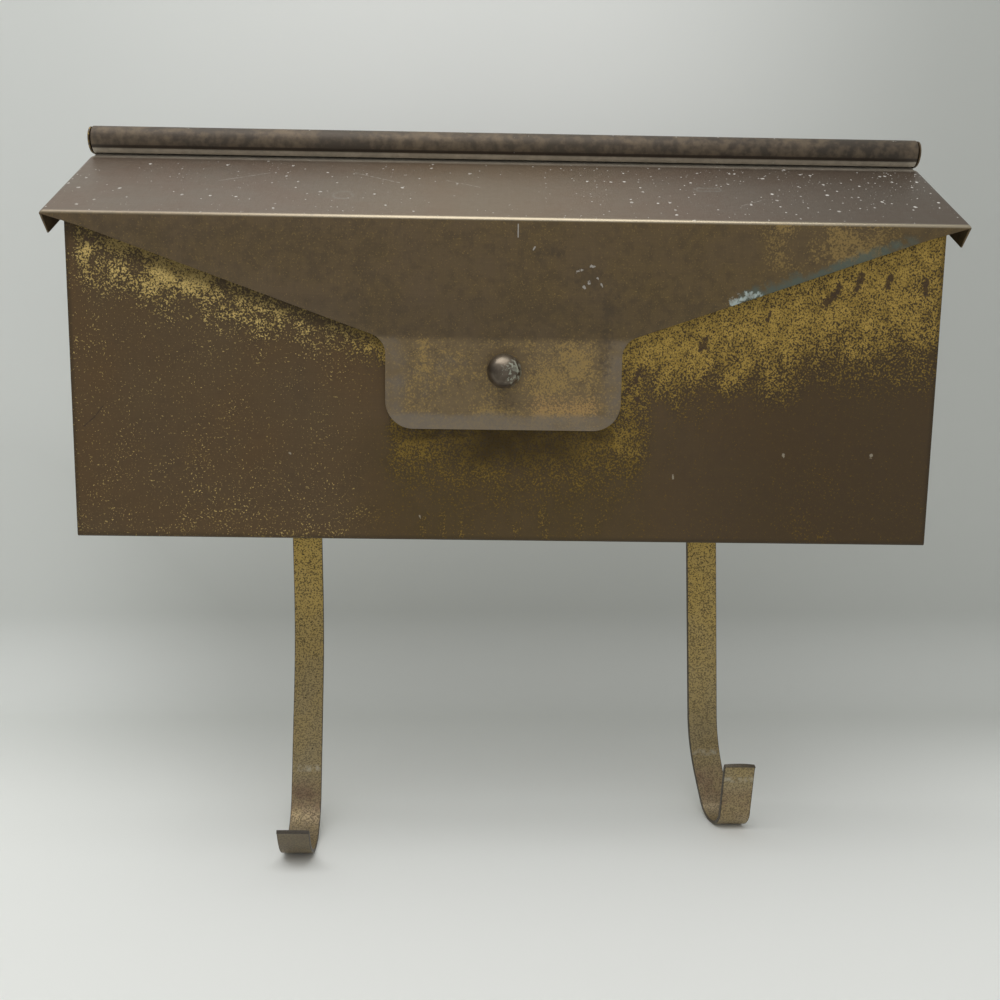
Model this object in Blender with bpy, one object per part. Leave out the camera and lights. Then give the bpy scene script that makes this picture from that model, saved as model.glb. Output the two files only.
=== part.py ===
"""Wall-hung brass letter box with a hinged lid and two paper hooks.

The frame is in metres: +X to the right as seen from the front, +Y into the wall, +Z up.
The origin is the middle of the back plate's rear face, which lies against the wall.
"""

import math

import bmesh
import bpy
from mathutils import Matrix, Vector

# Sheet, bends and clearances
SHEET = 0.0008
GAP = 0.0003
BEND_RADIUS = 0.0010
BEND_STEPS = 3
SHARP_FOLD = math.radians(30)
SHARP_EDGE = math.radians(35)

# Box
BOX_WIDTH = 0.4060
BOX_DEPTH = 0.0740
SEAM_STEP = 0.0004
FRONT_HEM = 0.0060
SEAM_FLANGE = 0.0120
REAR_FLANGE = 0.0062
CORNER_RELIEF = 0.0030

# Back plate and its ears
PLATE_INSET = 0.0002
EAR_RADIUS = 0.0065
SCREW_HOLE_RADIUS = 0.0027
SCREW_HOLE_SPACING = 0.2600
SCREW_HOLE_DROP = 0.0340

# Lid
FOLD_HEIGHT = 0.1497
FLAP_STANDOFF = 0.0035
LID_OVERHANG = 0.0093
LID_FLANGE = 0.0115
LID_FLANGE_SETBACK = 0.0030
LID_NOTCH_LENGTH = 0.0065
TONGUE_WIDTH = 0.1101
TONGUE_SHIFT = -0.0012
TONGUE_SHOULDER_DROP = 0.0550
TONGUE_SHOULDER_RADIUS = 0.0090
TONGUE_LENGTH = 0.0413
TONGUE_CORNER_RADIUS = 0.0130
FLAP_BEND_DROP = 0.0355
FLAP_BEND_IN = 0.0007

# Hinge: the lid's roll, and the rod that it hangs on
HINGE_HEIGHT = 0.1936
ROLL_RADIUS = 0.0065
ROLL_END_GAP = 0.0008
ROLL_LAP = math.radians(32)
ROLL_STEPS = 18
ROD_RADIUS = 0.0039
SPIGOT_RADIUS = 0.0020
SPIGOT_HEAD_RADIUS = 0.0032
SPIGOT_HEAD = 0.0010

# Knob on the tongue
KNOB_DIAMETER = 0.0159
KNOB_DROP = 0.0687
KNOB_NECK = 0.0009
KNOB_NECK_RADIUS = 0.0034
STEM_RADIUS = 0.0018
STEM_HEAD_RADIUS = 0.0027
STEM_HEAD = 0.0007
WASHER_RADIUS = 0.0048
WASHER_THICKNESS = 0.0005

# Paper hooks
STRAP_WIDTH = 0.0159
STRAP_THICKNESS = 0.0016
STRAP_SLOT_GAP = 0.0006
STRAP_HEAD_LENGTH = 0.0480
HOOK_SPACING = 0.2154
HOOK_SHIFT = 0.0019
HOOK_TIP_LENGTH = 0.0035
HOOK_TIP_FLARE = math.radians(-35)
BEND_SEGMENT = math.radians(9)

# Left hook: straight drop, slow bow forward, straight, wide curl, short end
LEFT_DROP = 0.0403
LEFT_BOW = 0.0523
LEFT_BOW_TURN = math.radians(20)
LEFT_RUN = 0.0582
LEFT_CURL_RADIUS = 0.0259
LEFT_CURL_TURN = math.radians(134)
LEFT_END = 0.0042
LEFT_LEAN = 0.012
LEFT_SWING = 0.035

# Right hook: the same pieces, with a tighter curl and a longer end
RIGHT_DROP = 0.1096
RIGHT_BOW = 0.0348
RIGHT_BOW_TURN = math.radians(29)
RIGHT_RUN = 0.0132
RIGHT_CURL_RADIUS = 0.0120
RIGHT_CURL_TURN = math.radians(140)
RIGHT_END = 0.0269
RIGHT_LEAN = 0.048
RIGHT_SWING = 0.253

# Rivets
RIVET_RADIUS = 0.0014
RIVET_HEAD_RADIUS = 0.0027
RIVET_HEAD = 0.0011
HOOK_RIVET_SPACING = 0.0260
HOOK_RIVET_EDGE = 0.0080
END_RIVET_MARGIN = 0.0180
END_RIVETS = 3
BOTTOM_RIVET_SPACING = 0.1500
BOTTOM_RIVETS = 3
BOTTOM_RIVET_HEIGHT = 0.0072
ROUND_STEPS = 20
HEAD_SHRINK = 0.75
HEAD_SHOULDER = 0.70

# Places that follow from the sizes
BOTTOM_Z = -HINGE_HEIGHT / 2
LID_WIDTH = BOX_WIDTH + 2 * LID_OVERHANG
PLATE_WIDTH = LID_WIDTH - 2 * PLATE_INSET
FRONT_Y = -BOX_DEPTH
FOLD_Y = FRONT_Y - FLAP_STANDOFF
FOLD_Z = BOTTOM_Z + FOLD_HEIGHT
PLATE_FRONT_Y = -SHEET
ROLL_Y = PLATE_FRONT_Y - GAP - ROLL_RADIUS - SHEET / 2
ROLL_Z = BOTTOM_Z + HINGE_HEIGHT
ROD_Y = ROLL_Y
ROD_Z = ROLL_Z + ROLL_RADIUS - SHEET / 2 - GAP - ROD_RADIUS
EAR_X = PLATE_WIDTH / 2 - SHEET / 2
ROLL_HALF_WIDTH = EAR_X - SHEET / 2 - ROLL_END_GAP
PLATE_TOP_Z = ROLL_Z + EAR_RADIUS
END_X = BOX_WIDTH / 2 - SHEET / 2
TONGUE_TOP_Z = FOLD_Z - TONGUE_SHOULDER_DROP
TONGUE_BOTTOM_Z = TONGUE_TOP_Z - TONGUE_LENGTH
KNOB_Z = FOLD_Z - KNOB_DROP


def roof_slope():
    """Angle of the roof, which runs from the fold to touch the underside of the roll."""
    rise = ROLL_Z - FOLD_Z
    run = ROLL_Y - FOLD_Y
    return math.atan2(rise, run) - math.asin(ROLL_RADIUS / math.hypot(rise, run))


ROOF_SLOPE = roof_slope()


def roof_under_z(y):
    """Height just below the roof's underside at a given y, with the running clearance."""
    middle = FOLD_Z + (y - FOLD_Y) * math.tan(ROOF_SLOPE)
    return middle - (SHEET / 2 + GAP) / math.cos(ROOF_SLOPE)


def make_material(name, colour, roughness, metallic):
    """A plain metal finish for one sub-part."""
    material = bpy.data.materials.new(name)
    material.use_nodes = True
    shader = material.node_tree.nodes["Principled BSDF"]
    shader.inputs["Base Color"].default_value = (*colour, 1.0)
    shader.inputs["Roughness"].default_value = roughness
    shader.inputs["Metallic"].default_value = metallic
    material.diffuse_color = (*colour, 1.0)
    return material


def add_object(name, bm, material):
    """Turn a bmesh into a named object, shaded smooth across its round faces."""
    mesh = bpy.data.meshes.new(name)
    bm.to_mesh(mesh)
    bm.free()
    mesh.materials.append(material)
    mesh.shade_smooth()
    mesh.set_sharp_from_angle(angle=SHARP_EDGE)
    obj = bpy.data.objects.new(name, mesh)
    bpy.context.scene.collection.objects.link(obj)
    return obj


def bend_and_thicken(obj, thickness=SHEET):
    """Round a sheet's marked folds, then give the middle surface its thickness."""
    bevel = obj.modifiers.new("Folds", "BEVEL")
    bevel.limit_method = "WEIGHT"
    bevel.width = BEND_RADIUS
    bevel.segments = BEND_STEPS
    solidify = obj.modifiers.new("Sheet", "SOLIDIFY")
    solidify.thickness = thickness
    solidify.offset = 0
    solidify.use_even_offset = True


def cut_with(obj, cutter):
    """Cut a tool shape out of a piece and keep the tool out of the model."""
    boolean = obj.modifiers.new(cutter.name, "BOOLEAN")
    boolean.operation = "DIFFERENCE"
    boolean.solver = "EXACT"
    boolean.object = cutter
    cutter.hide_render = True
    cutter.display_type = "WIRE"


def mark_folds(bm, is_fold):
    """Give the edges that is_fold accepts a full bevel weight."""
    weight = bm.edges.layers.float.new("bevel_weight_edge")
    for edge in bm.edges:
        if len(edge.link_faces) == 2 and is_fold(edge):
            edge[weight] = 1.0


def arc(centre, radius, start, sweep, steps):
    """Points along an arc in a plane, both ends included."""
    points = []
    for step in range(steps + 1):
        angle = start + sweep * step / steps
        points.append((centre[0] + radius * math.cos(angle), centre[1] + radius * math.sin(angle)))
    return points


def rounded_corner(before, corner, after, radius, steps):
    """Points of the arc that rounds one corner of an outline."""
    corner_v = Vector(corner)
    to_before = (Vector(before) - corner_v).normalized()
    to_after = (Vector(after) - corner_v).normalized()
    half = to_before.angle(to_after) / 2
    centre = corner_v + (to_before + to_after).normalized() * (radius / math.sin(half))
    start_v = corner_v + to_before * (radius / math.tan(half)) - centre
    end_v = corner_v + to_after * (radius / math.tan(half)) - centre
    start = math.atan2(start_v.y, start_v.x)
    sweep = math.atan2(end_v.y, end_v.x) - start
    sweep = (sweep + math.pi) % (2 * math.pi) - math.pi
    return arc(centre, radius, start, sweep, steps)


def strip(bm, profile, half_width):
    """Faces of a sheet that follows a (y, z) profile across the part's width."""
    rows = []
    for y, z in profile:
        rows.append((bm.verts.new((-half_width, y, z)), bm.verts.new((half_width, y, z))))
    for (left, right), (next_left, next_right) in zip(rows, rows[1:]):
        bm.faces.new((left, right, next_right, next_left))
    return rows


def rod_cutter(name, rods):
    """One tool made of round rods, each given by its centre, axis, radius and length."""
    bm = bmesh.new()
    for centre, axis, radius, length in rods:
        turn = Vector((0, 0, 1)).rotation_difference(Vector(axis)).to_matrix().to_4x4()
        bmesh.ops.create_cone(
            bm, cap_ends=True, segments=ROUND_STEPS, radius1=radius, radius2=radius, depth=length,
            matrix=Matrix.Translation(centre) @ turn,
        )
    return add_object(name, bm, None)


def box_cutter(name, boxes):
    """One tool made of plain blocks, each given by its low and high corner."""
    bm = bmesh.new()
    for low, high in boxes:
        low_v, high_v = Vector(low), Vector(high)
        size = Matrix.Diagonal((*(high_v - low_v), 1.0))
        bmesh.ops.create_cube(bm, size=1, matrix=Matrix.Translation((low_v + high_v) / 2) @ size)
    return add_object(name, bm, None)


def turned(name, profile, axis_at, turn, material):
    """A turned piece: a (radius, height) profile spun about its own axis, then placed."""
    bm = bmesh.new()
    verts = [bm.verts.new((radius, 0, height)) for radius, height in profile]
    edges = [bm.edges.new(pair) for pair in zip(verts, verts[1:])]
    bmesh.ops.spin(
        bm, geom=verts + edges, cent=(0, 0, 0), axis=(0, 0, 1), angle=2 * math.pi,
        steps=ROUND_STEPS, use_merge=True,
    )
    bmesh.ops.remove_doubles(bm, verts=bm.verts, dist=1e-6)
    bmesh.ops.recalc_face_normals(bm, faces=bm.faces)
    obj = add_object(name, bm, material)
    obj.location = axis_at
    obj.rotation_euler = turn
    return obj


def hook_centres():
    """X of each hook's middle, left then right."""
    return HOOK_SHIFT - HOOK_SPACING / 2, HOOK_SHIFT + HOOK_SPACING / 2


def hook_rivet_heights():
    """Heights of the two rivets in the head of a hook."""
    top = BOTTOM_Z + STRAP_HEAD_LENGTH - HOOK_RIVET_EDGE
    return top - HOOK_RIVET_SPACING, top


def end_rivet_places():
    """(x, z) of the rivets in both end panels' rear flanges."""
    low = BOTTOM_Z + END_RIVET_MARGIN
    high = roof_under_z(PLATE_FRONT_Y) - END_RIVET_MARGIN
    x = END_X + REAR_FLANGE / 2
    places = []
    for side in (-1, 1):
        for step in range(END_RIVETS):
            places.append((side * x, low + (high - low) * step / (END_RIVETS - 1)))
    return places


def bottom_rivet_places():
    """(x, z) of the rivets in the bottom panel's rear flange."""
    z = BOTTOM_Z + BOTTOM_RIVET_HEIGHT
    middle = (BOTTOM_RIVETS - 1) / 2
    return [((step - middle) * BOTTOM_RIVET_SPACING, z) for step in range(BOTTOM_RIVETS)]


def rivet_hole(x, z, depth):
    """Tool rod for a rivet's hole through all that lies on the back plate."""
    return ((x, -depth / 2, z), (0, 1, 0), RIVET_RADIUS + GAP, depth * 2)


def build_back_plate(material):
    """Flat back plate, with a round ear folded forward at each top corner."""
    bm = bmesh.new()
    y = -SHEET / 2
    ear_low = ROLL_Z - EAR_RADIUS
    corners = [(-EAR_X, BOTTOM_Z), (EAR_X, BOTTOM_Z), (EAR_X, ear_low), (EAR_X, PLATE_TOP_Z),
               (-EAR_X, PLATE_TOP_Z), (-EAR_X, ear_low)]
    verts = [bm.verts.new((x, y, z)) for x, z in corners]
    bm.faces.new(verts)
    nose = arc((ROLL_Y, ROLL_Z), EAR_RADIUS, -math.pi / 2, -math.pi, BEND_STEPS * 4)
    for low, high in ((verts[2], verts[3]), (verts[5], verts[4])):
        rim = [bm.verts.new((low.co.x, ear_y, ear_z)) for ear_y, ear_z in nose]
        bm.faces.new([low, *rim, high])
    bmesh.ops.recalc_face_normals(bm, faces=bm.faces)
    mark_folds(bm, lambda edge: True)
    plate = add_object("back_plate", bm, material)
    bend_and_thicken(plate)

    holes = [((0, ROD_Y, ROD_Z), (1, 0, 0), SPIGOT_RADIUS + GAP, PLATE_WIDTH + SHEET)]
    for side in (-1, 1):
        centre = (side * SCREW_HOLE_SPACING / 2, 0, ROLL_Z - SCREW_HOLE_DROP)
        holes.append((centre, (0, 1, 0), SCREW_HOLE_RADIUS, SHEET * 4))
    for x, z in end_rivet_places() + bottom_rivet_places():
        holes.append(rivet_hole(x, z, SHEET))
    for x in hook_centres():
        for z in hook_rivet_heights():
            holes.append(rivet_hole(x, z, SHEET))
    cut_with(plate, rod_cutter("back_plate_holes", holes))
    return plate


def build_front_sheet(material):
    """Front panel with a hemmed top, folded into the bottom panel and its rear flange."""
    bm = bmesh.new()
    front = FRONT_Y + SHEET / 2
    bottom = BOTTOM_Z + SHEET / 2
    rear = PLATE_FRONT_Y - GAP - SHEET / 2
    hem_radius = (SHEET + GAP) / 2
    hem_centre = (front + hem_radius, roof_under_z(FRONT_Y) - SHEET / 2 - hem_radius)
    profile = [(front + 2 * hem_radius, hem_centre[1] - FRONT_HEM)]
    profile += arc(hem_centre, hem_radius, 0, math.pi, BEND_STEPS * 2)
    profile += rounded_corner(profile[-1], (front, bottom), (rear, bottom), BEND_RADIUS, BEND_STEPS)
    profile += rounded_corner((front, bottom), (rear, bottom), (rear, 0), BEND_RADIUS, BEND_STEPS)
    profile.append((rear, BOTTOM_Z + SEAM_FLANGE))
    strip(bm, profile, BOX_WIDTH / 2 - SEAM_STEP)
    bmesh.ops.recalc_face_normals(bm, faces=bm.faces)
    sheet = add_object("front_sheet", bm, material)
    bend_and_thicken(sheet)

    half_slot = STRAP_WIDTH / 2 + STRAP_SLOT_GAP
    slot_front = PLATE_FRONT_Y - GAP - STRAP_THICKNESS - STRAP_SLOT_GAP
    slots = []
    for x in hook_centres():
        low = (x - half_slot, slot_front, BOTTOM_Z - SHEET)
        slots.append((low, (x + half_slot, SHEET, BOTTOM_Z + SEAM_FLANGE + SHEET)))
    panel_inner = END_X - SHEET / 2 - GAP
    for x in (-BOX_WIDTH / 2 - SHEET, panel_inner):
        low = (x, slot_front, BOTTOM_Z + SHEET + GAP)
        slots.append((low, (x + BOX_WIDTH / 2 + SHEET - panel_inner, SHEET, BOTTOM_Z + SEAM_FLANGE + SHEET)))
    cut_with(sheet, box_cutter("bottom_notches", slots))
    holes = [rivet_hole(x, z, 2 * SHEET + GAP) for x, z in bottom_rivet_places()]
    cut_with(sheet, rod_cutter("bottom_rivet_holes", holes))
    return sheet


def build_end_panel(name, side, material):
    """End panel, folded in behind the front and over the bottom, and out onto the back plate."""
    bm = bmesh.new()
    x = side * END_X
    front = FRONT_Y + SHEET + GAP + SHEET / 2
    bottom = BOTTOM_Z + SHEET + GAP + SHEET / 2
    rear = PLATE_FRONT_Y - GAP - SHEET / 2
    hem_clear = FRONT_HEM + CORNER_RELIEF
    top_front = roof_under_z(front)
    top_rear = roof_under_z(rear)
    behind_hem = front + SHEET + 2 * GAP
    outline = [(front, bottom), (front + SEAM_FLANGE, bottom), (rear - SEAM_FLANGE, bottom), (rear, bottom),
               (rear, bottom + CORNER_RELIEF), (rear, top_rear - CORNER_RELIEF), (rear, top_rear),
               (behind_hem, roof_under_z(behind_hem)), (behind_hem, top_front - hem_clear),
               (front, top_front - hem_clear), (front, bottom + CORNER_RELIEF)]
    verts = [bm.verts.new((x, y, z)) for y, z in outline]
    bm.faces.new(verts)
    inward = Vector((-side * SEAM_FLANGE, 0, 0))
    outward = Vector((side * REAR_FLANGE, 0, 0))
    folds = [(verts[1], verts[2], inward), (verts[4], verts[5], outward), (verts[9], verts[10], inward)]
    for first, second, reach in folds:
        far = [bm.verts.new(vert.co + reach) for vert in (second, first)]
        bm.faces.new((first, second, *far))
    bmesh.ops.recalc_face_normals(bm, faces=bm.faces)
    mark_folds(bm, lambda edge: True)
    panel = add_object(name, bm, material)
    bend_and_thicken(panel)
    holes = [rivet_hole(hole_x, z, 2 * SHEET + GAP) for hole_x, z in end_rivet_places() if hole_x * side > 0]
    cut_with(panel, rod_cutter(name + "_holes", holes))
    return panel


def flap_outline(half_width, top_z):
    """Outline of the front flap in (x, z): a shallow point that ends in a round-cornered tongue."""
    left = TONGUE_SHIFT - TONGUE_WIDTH / 2
    right = TONGUE_SHIFT + TONGUE_WIDTH / 2
    shape = [((-half_width, top_z), 0), ((left, TONGUE_TOP_Z), TONGUE_SHOULDER_RADIUS),
             ((left, TONGUE_BOTTOM_Z), TONGUE_CORNER_RADIUS), ((right, TONGUE_BOTTOM_Z), TONGUE_CORNER_RADIUS),
             ((right, TONGUE_TOP_Z), TONGUE_SHOULDER_RADIUS), ((half_width, top_z), 0)]
    points = []
    for index, (corner, radius) in enumerate(shape):
        if radius:
            before, after = shape[index - 1][0], shape[index + 1][0]
            points += rounded_corner(before, corner, after, radius, BEND_STEPS * 2)
        else:
            points.append(corner)
    return points


def build_lid(material):
    """Lid from one sheet: tongued flap, sloped roof, side flanges and the open hinge roll."""
    bm = bmesh.new()
    along = Vector((0, math.cos(ROOF_SLOPE), math.sin(ROOF_SLOPE)))
    down = Vector((0, math.sin(ROOF_SLOPE), -math.cos(ROOF_SLOPE)))
    fold = Vector((0, FOLD_Y, FOLD_Z))
    half_width = LID_WIDTH / 2 - SHEET / 2
    roof_length = math.sqrt((ROLL_Y - FOLD_Y) ** 2 + (ROLL_Z - FOLD_Z) ** 2 - ROLL_RADIUS ** 2)
    notch = fold + along * (roof_length - LID_NOTCH_LENGTH)

    profile = arc((ROLL_Y, ROLL_Z), ROLL_RADIUS, ROOF_SLOPE - math.pi / 2,
                  math.pi * 1.5 + ROLL_LAP - ROOF_SLOPE, ROLL_STEPS)
    rows = strip(bm, [(notch.y, notch.z)] + profile, ROLL_HALF_WIDTH)
    inner_left, inner_right = rows[0]

    outer = {}
    for side in (-1, 1):
        across = Vector((side * half_width, 0, 0))
        outer[side] = (bm.verts.new(fold + across), bm.verts.new(notch + across))
        tip = bm.verts.new(fold + across + along * LID_FLANGE_SETBACK + down * LID_FLANGE)
        heel = bm.verts.new(notch + across + down * LID_FLANGE)
        bm.faces.new((outer[side][0], outer[side][1], heel, tip))
    bm.faces.new((outer[-1][0], outer[1][0], outer[1][1], inner_right, inner_left, outer[-1][1]))

    flap = [bm.verts.new((x, FOLD_Y, z)) for x, z in flap_outline(half_width, FOLD_Z)[1:-1]]
    flap_face = bm.faces.new([outer[-1][0], *flap, outer[1][0]])
    bmesh.ops.recalc_face_normals(bm, faces=bm.faces)
    bm.normal_update()
    mark_folds(bm, lambda edge: edge.calc_face_angle(0) > SHARP_FOLD)
    bend_z = FOLD_Z - FLAP_BEND_DROP
    geometry = [flap_face, *flap_face.edges, *flap_face.verts]
    for height in (bend_z, TONGUE_TOP_Z):
        cut = bmesh.ops.bisect_plane(bm, geom=geometry, plane_co=(0, 0, height), plane_no=(0, 0, 1))
        geometry = cut["geom"]
    for vert in bm.verts:
        if vert.co.y < FOLD_Y + SHEET / 4 and vert.co.z < bend_z - SHEET / 4:
            share = min(1.0, (bend_z - vert.co.z) / (bend_z - TONGUE_TOP_Z))
            vert.co.y += FLAP_BEND_IN * share
    lid = add_object("lid", bm, material)
    bend_and_thicken(lid)
    hole = ((TONGUE_SHIFT, FOLD_Y, KNOB_Z), (0, 1, 0), STEM_RADIUS + GAP, FLAP_STANDOFF + SHEET)
    cut_with(lid, rod_cutter("knob_hole", [hole]))
    return lid


def build_hinge_rod(material):
    """Round rod inside the roll, shouldered and peened over outside both ears."""
    ear_inner = EAR_X - SHEET / 2 - GAP
    head_inner = EAR_X + SHEET / 2 + GAP
    half = [(ROD_RADIUS, ear_inner), (SPIGOT_RADIUS, ear_inner), (SPIGOT_RADIUS, head_inner),
            (SPIGOT_HEAD_RADIUS, head_inner),
            (SPIGOT_HEAD_RADIUS * HEAD_SHRINK, head_inner + SPIGOT_HEAD * HEAD_SHOULDER),
            (0, head_inner + SPIGOT_HEAD)]
    profile = [(radius, -height) for radius, height in reversed(half)] + half
    return turned("hinge_rod", profile, (0, ROD_Y, ROD_Z), (0, math.pi / 2, 0), material)


def build_knob(material, washer_material):
    """Ball knob with its peened stem through the tongue, and the washer under the peened end."""
    tongue_y = FOLD_Y + FLAP_BEND_IN
    outer_y = tongue_y - SHEET / 2 - GAP
    inner_depth = SHEET + 2 * GAP
    radius = KNOB_DIAMETER / 2
    neck_angle = math.asin(KNOB_NECK_RADIUS / radius)
    centre = KNOB_NECK + radius * math.cos(neck_angle)
    ball = arc((0, centre), radius, math.pi / 2, neck_angle - math.pi, ROUND_STEPS // 2)
    washer_far = inner_depth + WASHER_THICKNESS + GAP
    profile = ball + [(KNOB_NECK_RADIUS, 0), (STEM_RADIUS, 0), (STEM_RADIUS, -washer_far),
                      (STEM_HEAD_RADIUS, -washer_far),
                      (STEM_HEAD_RADIUS * HEAD_SHRINK, -washer_far - STEM_HEAD * HEAD_SHOULDER),
                      (0, -washer_far - STEM_HEAD)]
    knob = turned("knob", profile, (TONGUE_SHIFT, outer_y, KNOB_Z), (math.pi / 2, 0, 0), material)

    hole = STEM_RADIUS + GAP
    ring = [(hole, -inner_depth), (WASHER_RADIUS, -inner_depth),
            (WASHER_RADIUS, -inner_depth - WASHER_THICKNESS), (hole, -inner_depth - WASHER_THICKNESS)]
    washer = turned("knob_washer", ring + ring[:1], knob.location, knob.rotation_euler, washer_material)
    return knob, washer


def hook_path(pieces):
    """Middle line of a hook in (forward, down) from the top of its head, as arcs and straights.

    Each piece is its length and the angle that it turns forward and up through.
    """
    heading = 0.0
    forward, down = 0.0, 0.0
    points = [(forward, down)]
    for length, turn in pieces:
        steps = max(1, math.ceil(abs(turn) / BEND_SEGMENT))
        for _ in range(steps):
            heading += turn / steps / 2
            chord = length / steps
            if turn:
                chord *= math.sin(abs(turn) / steps / 2) / (abs(turn) / steps / 2)
            forward += chord * math.sin(heading)
            down += chord * math.cos(heading)
            heading += turn / steps / 2
            points.append((forward, down))
    return points


def build_hook(name, x, pieces, lean, swing, material):
    """Paper hook: a flat strap bent forward and up, leaning and swung sideways as it hangs."""
    bm = bmesh.new()
    rear = PLATE_FRONT_Y - GAP - STRAP_THICKNESS / 2
    top = BOTTOM_Z + STRAP_HEAD_LENGTH
    head = (STRAP_HEAD_LENGTH + STRAP_THICKNESS, 0)
    tip = (HOOK_TIP_LENGTH, HOOK_TIP_FLARE)
    profile = [(rear - forward, top - down) for forward, down in hook_path([head, *pieces, tip])]
    strip(bm, profile, STRAP_WIDTH / 2)
    for vert in bm.verts:
        below = max(0.0, BOTTOM_Z - STRAP_THICKNESS - vert.co.z)
        vert.co.x += x + lean * below + swing * (rear - vert.co.y)
    bmesh.ops.recalc_face_normals(bm, faces=bm.faces)
    hook = add_object(name, bm, material)
    bend_and_thicken(hook, STRAP_THICKNESS)
    depth = SHEET + GAP + STRAP_THICKNESS
    holes = [rivet_hole(x, z, depth) for z in hook_rivet_heights()]
    cut_with(hook, rod_cutter(name + "_holes", holes))
    return hook


def build_rivet(name, x, z, stack, material):
    """Rivet with a round head inside the box and its end flush with the back plate's rear face."""
    head = stack + GAP
    profile = [(0, GAP), (RIVET_RADIUS, GAP), (RIVET_RADIUS, head), (RIVET_HEAD_RADIUS, head),
               (RIVET_HEAD_RADIUS * HEAD_SHRINK, head + RIVET_HEAD * HEAD_SHOULDER),
               (0, head + RIVET_HEAD)]
    return turned(name, profile, (x, 0, z), (math.pi / 2, 0, 0), material)


def clear_scene():
    """Remove whatever the file holds."""
    for obj in list(bpy.data.objects):
        bpy.data.objects.remove(obj, do_unlink=True)


def main():
    """Build every piece of the letter box."""
    clear_scene()
    patina = make_material("brown_brass", (0.17, 0.11, 0.07), 0.45, 0.85)
    roof_patina = make_material("grey_brown_brass", (0.18, 0.13, 0.11), 0.5, 0.8)
    strap_brass = make_material("speckled_brass", (0.36, 0.25, 0.09), 0.45, 0.9)
    knob_brass = make_material("dull_knob_brass", (0.16, 0.12, 0.09), 0.35, 0.9)
    rivet_brass = make_material("rivet_brass", (0.30, 0.22, 0.10), 0.5, 0.9)
    rod_brass = make_material("rod_brass", (0.22, 0.17, 0.10), 0.5, 0.9)

    build_back_plate(patina)
    build_front_sheet(patina)
    build_end_panel("left_end_panel", -1, patina)
    build_end_panel("right_end_panel", 1, patina)
    build_lid(roof_patina)
    build_hinge_rod(rod_brass)
    build_knob(knob_brass, rivet_brass)

    left_x, right_x = hook_centres()
    left_pieces = [(LEFT_DROP, 0), (LEFT_BOW, LEFT_BOW_TURN), (LEFT_RUN, 0),
                   (LEFT_CURL_RADIUS * LEFT_CURL_TURN, LEFT_CURL_TURN), (LEFT_END, 0)]
    right_pieces = [(RIGHT_DROP, 0), (RIGHT_BOW, RIGHT_BOW_TURN), (RIGHT_RUN, 0),
                    (RIGHT_CURL_RADIUS * RIGHT_CURL_TURN, RIGHT_CURL_TURN), (RIGHT_END, 0)]
    build_hook("left_hook", left_x, left_pieces, LEFT_LEAN, LEFT_SWING, strap_brass)
    build_hook("right_hook", right_x, right_pieces, RIGHT_LEAN, RIGHT_SWING, strap_brass)

    hook_stack = SHEET + GAP + STRAP_THICKNESS
    sheet_stack = 2 * SHEET + GAP
    for side, x in zip(("left", "right"), hook_centres()):
        for number, z in enumerate(hook_rivet_heights(), 1):
            build_rivet(f"{side}_hook_rivet_{number}", x, z, hook_stack, rivet_brass)
    for number, (x, z) in enumerate(end_rivet_places(), 1):
        build_rivet(f"end_rivet_{number}", x, z, sheet_stack, rivet_brass)
    for number, (x, z) in enumerate(bottom_rivet_places(), 1):
        build_rivet(f"bottom_rivet_{number}", x, z, sheet_stack, rivet_brass)


main()
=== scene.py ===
"""Dresses the wall letter box: finer sheet-metal forms, aged brass finishes, and a pale studio."""
import logging
import math
from collections.abc import Callable, Sequence
from dataclasses import dataclass, field
from enum import Enum
from functools import reduce
from typing import TypeAlias

import bmesh
import bpy
from mathutils import Matrix, Vector


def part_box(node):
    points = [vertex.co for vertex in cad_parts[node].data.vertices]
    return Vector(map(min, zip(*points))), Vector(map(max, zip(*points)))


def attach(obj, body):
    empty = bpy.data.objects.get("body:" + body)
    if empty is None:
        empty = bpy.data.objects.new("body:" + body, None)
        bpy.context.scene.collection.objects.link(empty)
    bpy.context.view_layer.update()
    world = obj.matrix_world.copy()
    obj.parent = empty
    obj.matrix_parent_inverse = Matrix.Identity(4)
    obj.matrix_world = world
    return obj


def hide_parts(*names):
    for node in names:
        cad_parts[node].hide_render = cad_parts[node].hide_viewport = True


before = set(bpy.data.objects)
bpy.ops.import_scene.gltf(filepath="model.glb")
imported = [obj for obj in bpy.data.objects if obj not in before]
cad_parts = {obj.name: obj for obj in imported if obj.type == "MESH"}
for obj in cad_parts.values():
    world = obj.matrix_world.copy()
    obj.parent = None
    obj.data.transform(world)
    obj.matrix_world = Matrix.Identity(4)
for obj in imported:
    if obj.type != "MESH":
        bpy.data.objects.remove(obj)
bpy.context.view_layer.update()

LOG = logging.getLogger("letter_box")

Colour: TypeAlias = tuple[float, float, float]
Point2: TypeAlias = tuple[float, float]
Point3: TypeAlias = tuple[float, float, float]
Value: TypeAlias = "Wire | float"
Tint: TypeAlias = "Wire | Colour"

# Places in the part's frame, in metres, that the forms and the finishes share.
FOLD_Y, FOLD_Z = -0.0775, 0.0529
BEND_Z = 0.0174
SHOULDER_Z = -0.0021
TONGUE_X, TONGUE_HALF, TONGUE_BOTTOM_Z = -0.0012, 0.0550, -0.0434
KNOB_Z = -0.0158
BOX_HALF_WIDTH, BOX_BOTTOM_Z = 0.2030, -0.0968
# How near two places have to be to count as one, and the same for places on bent sheet.
CLOSE, NEAR = 1e-5, 1e-4
ALONG_X: Point3 = (1, 0, 0)
ALONG_Y: Point3 = (0, 1, 0)
ALONG_Z: Point3 = (0, 0, 1)


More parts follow.
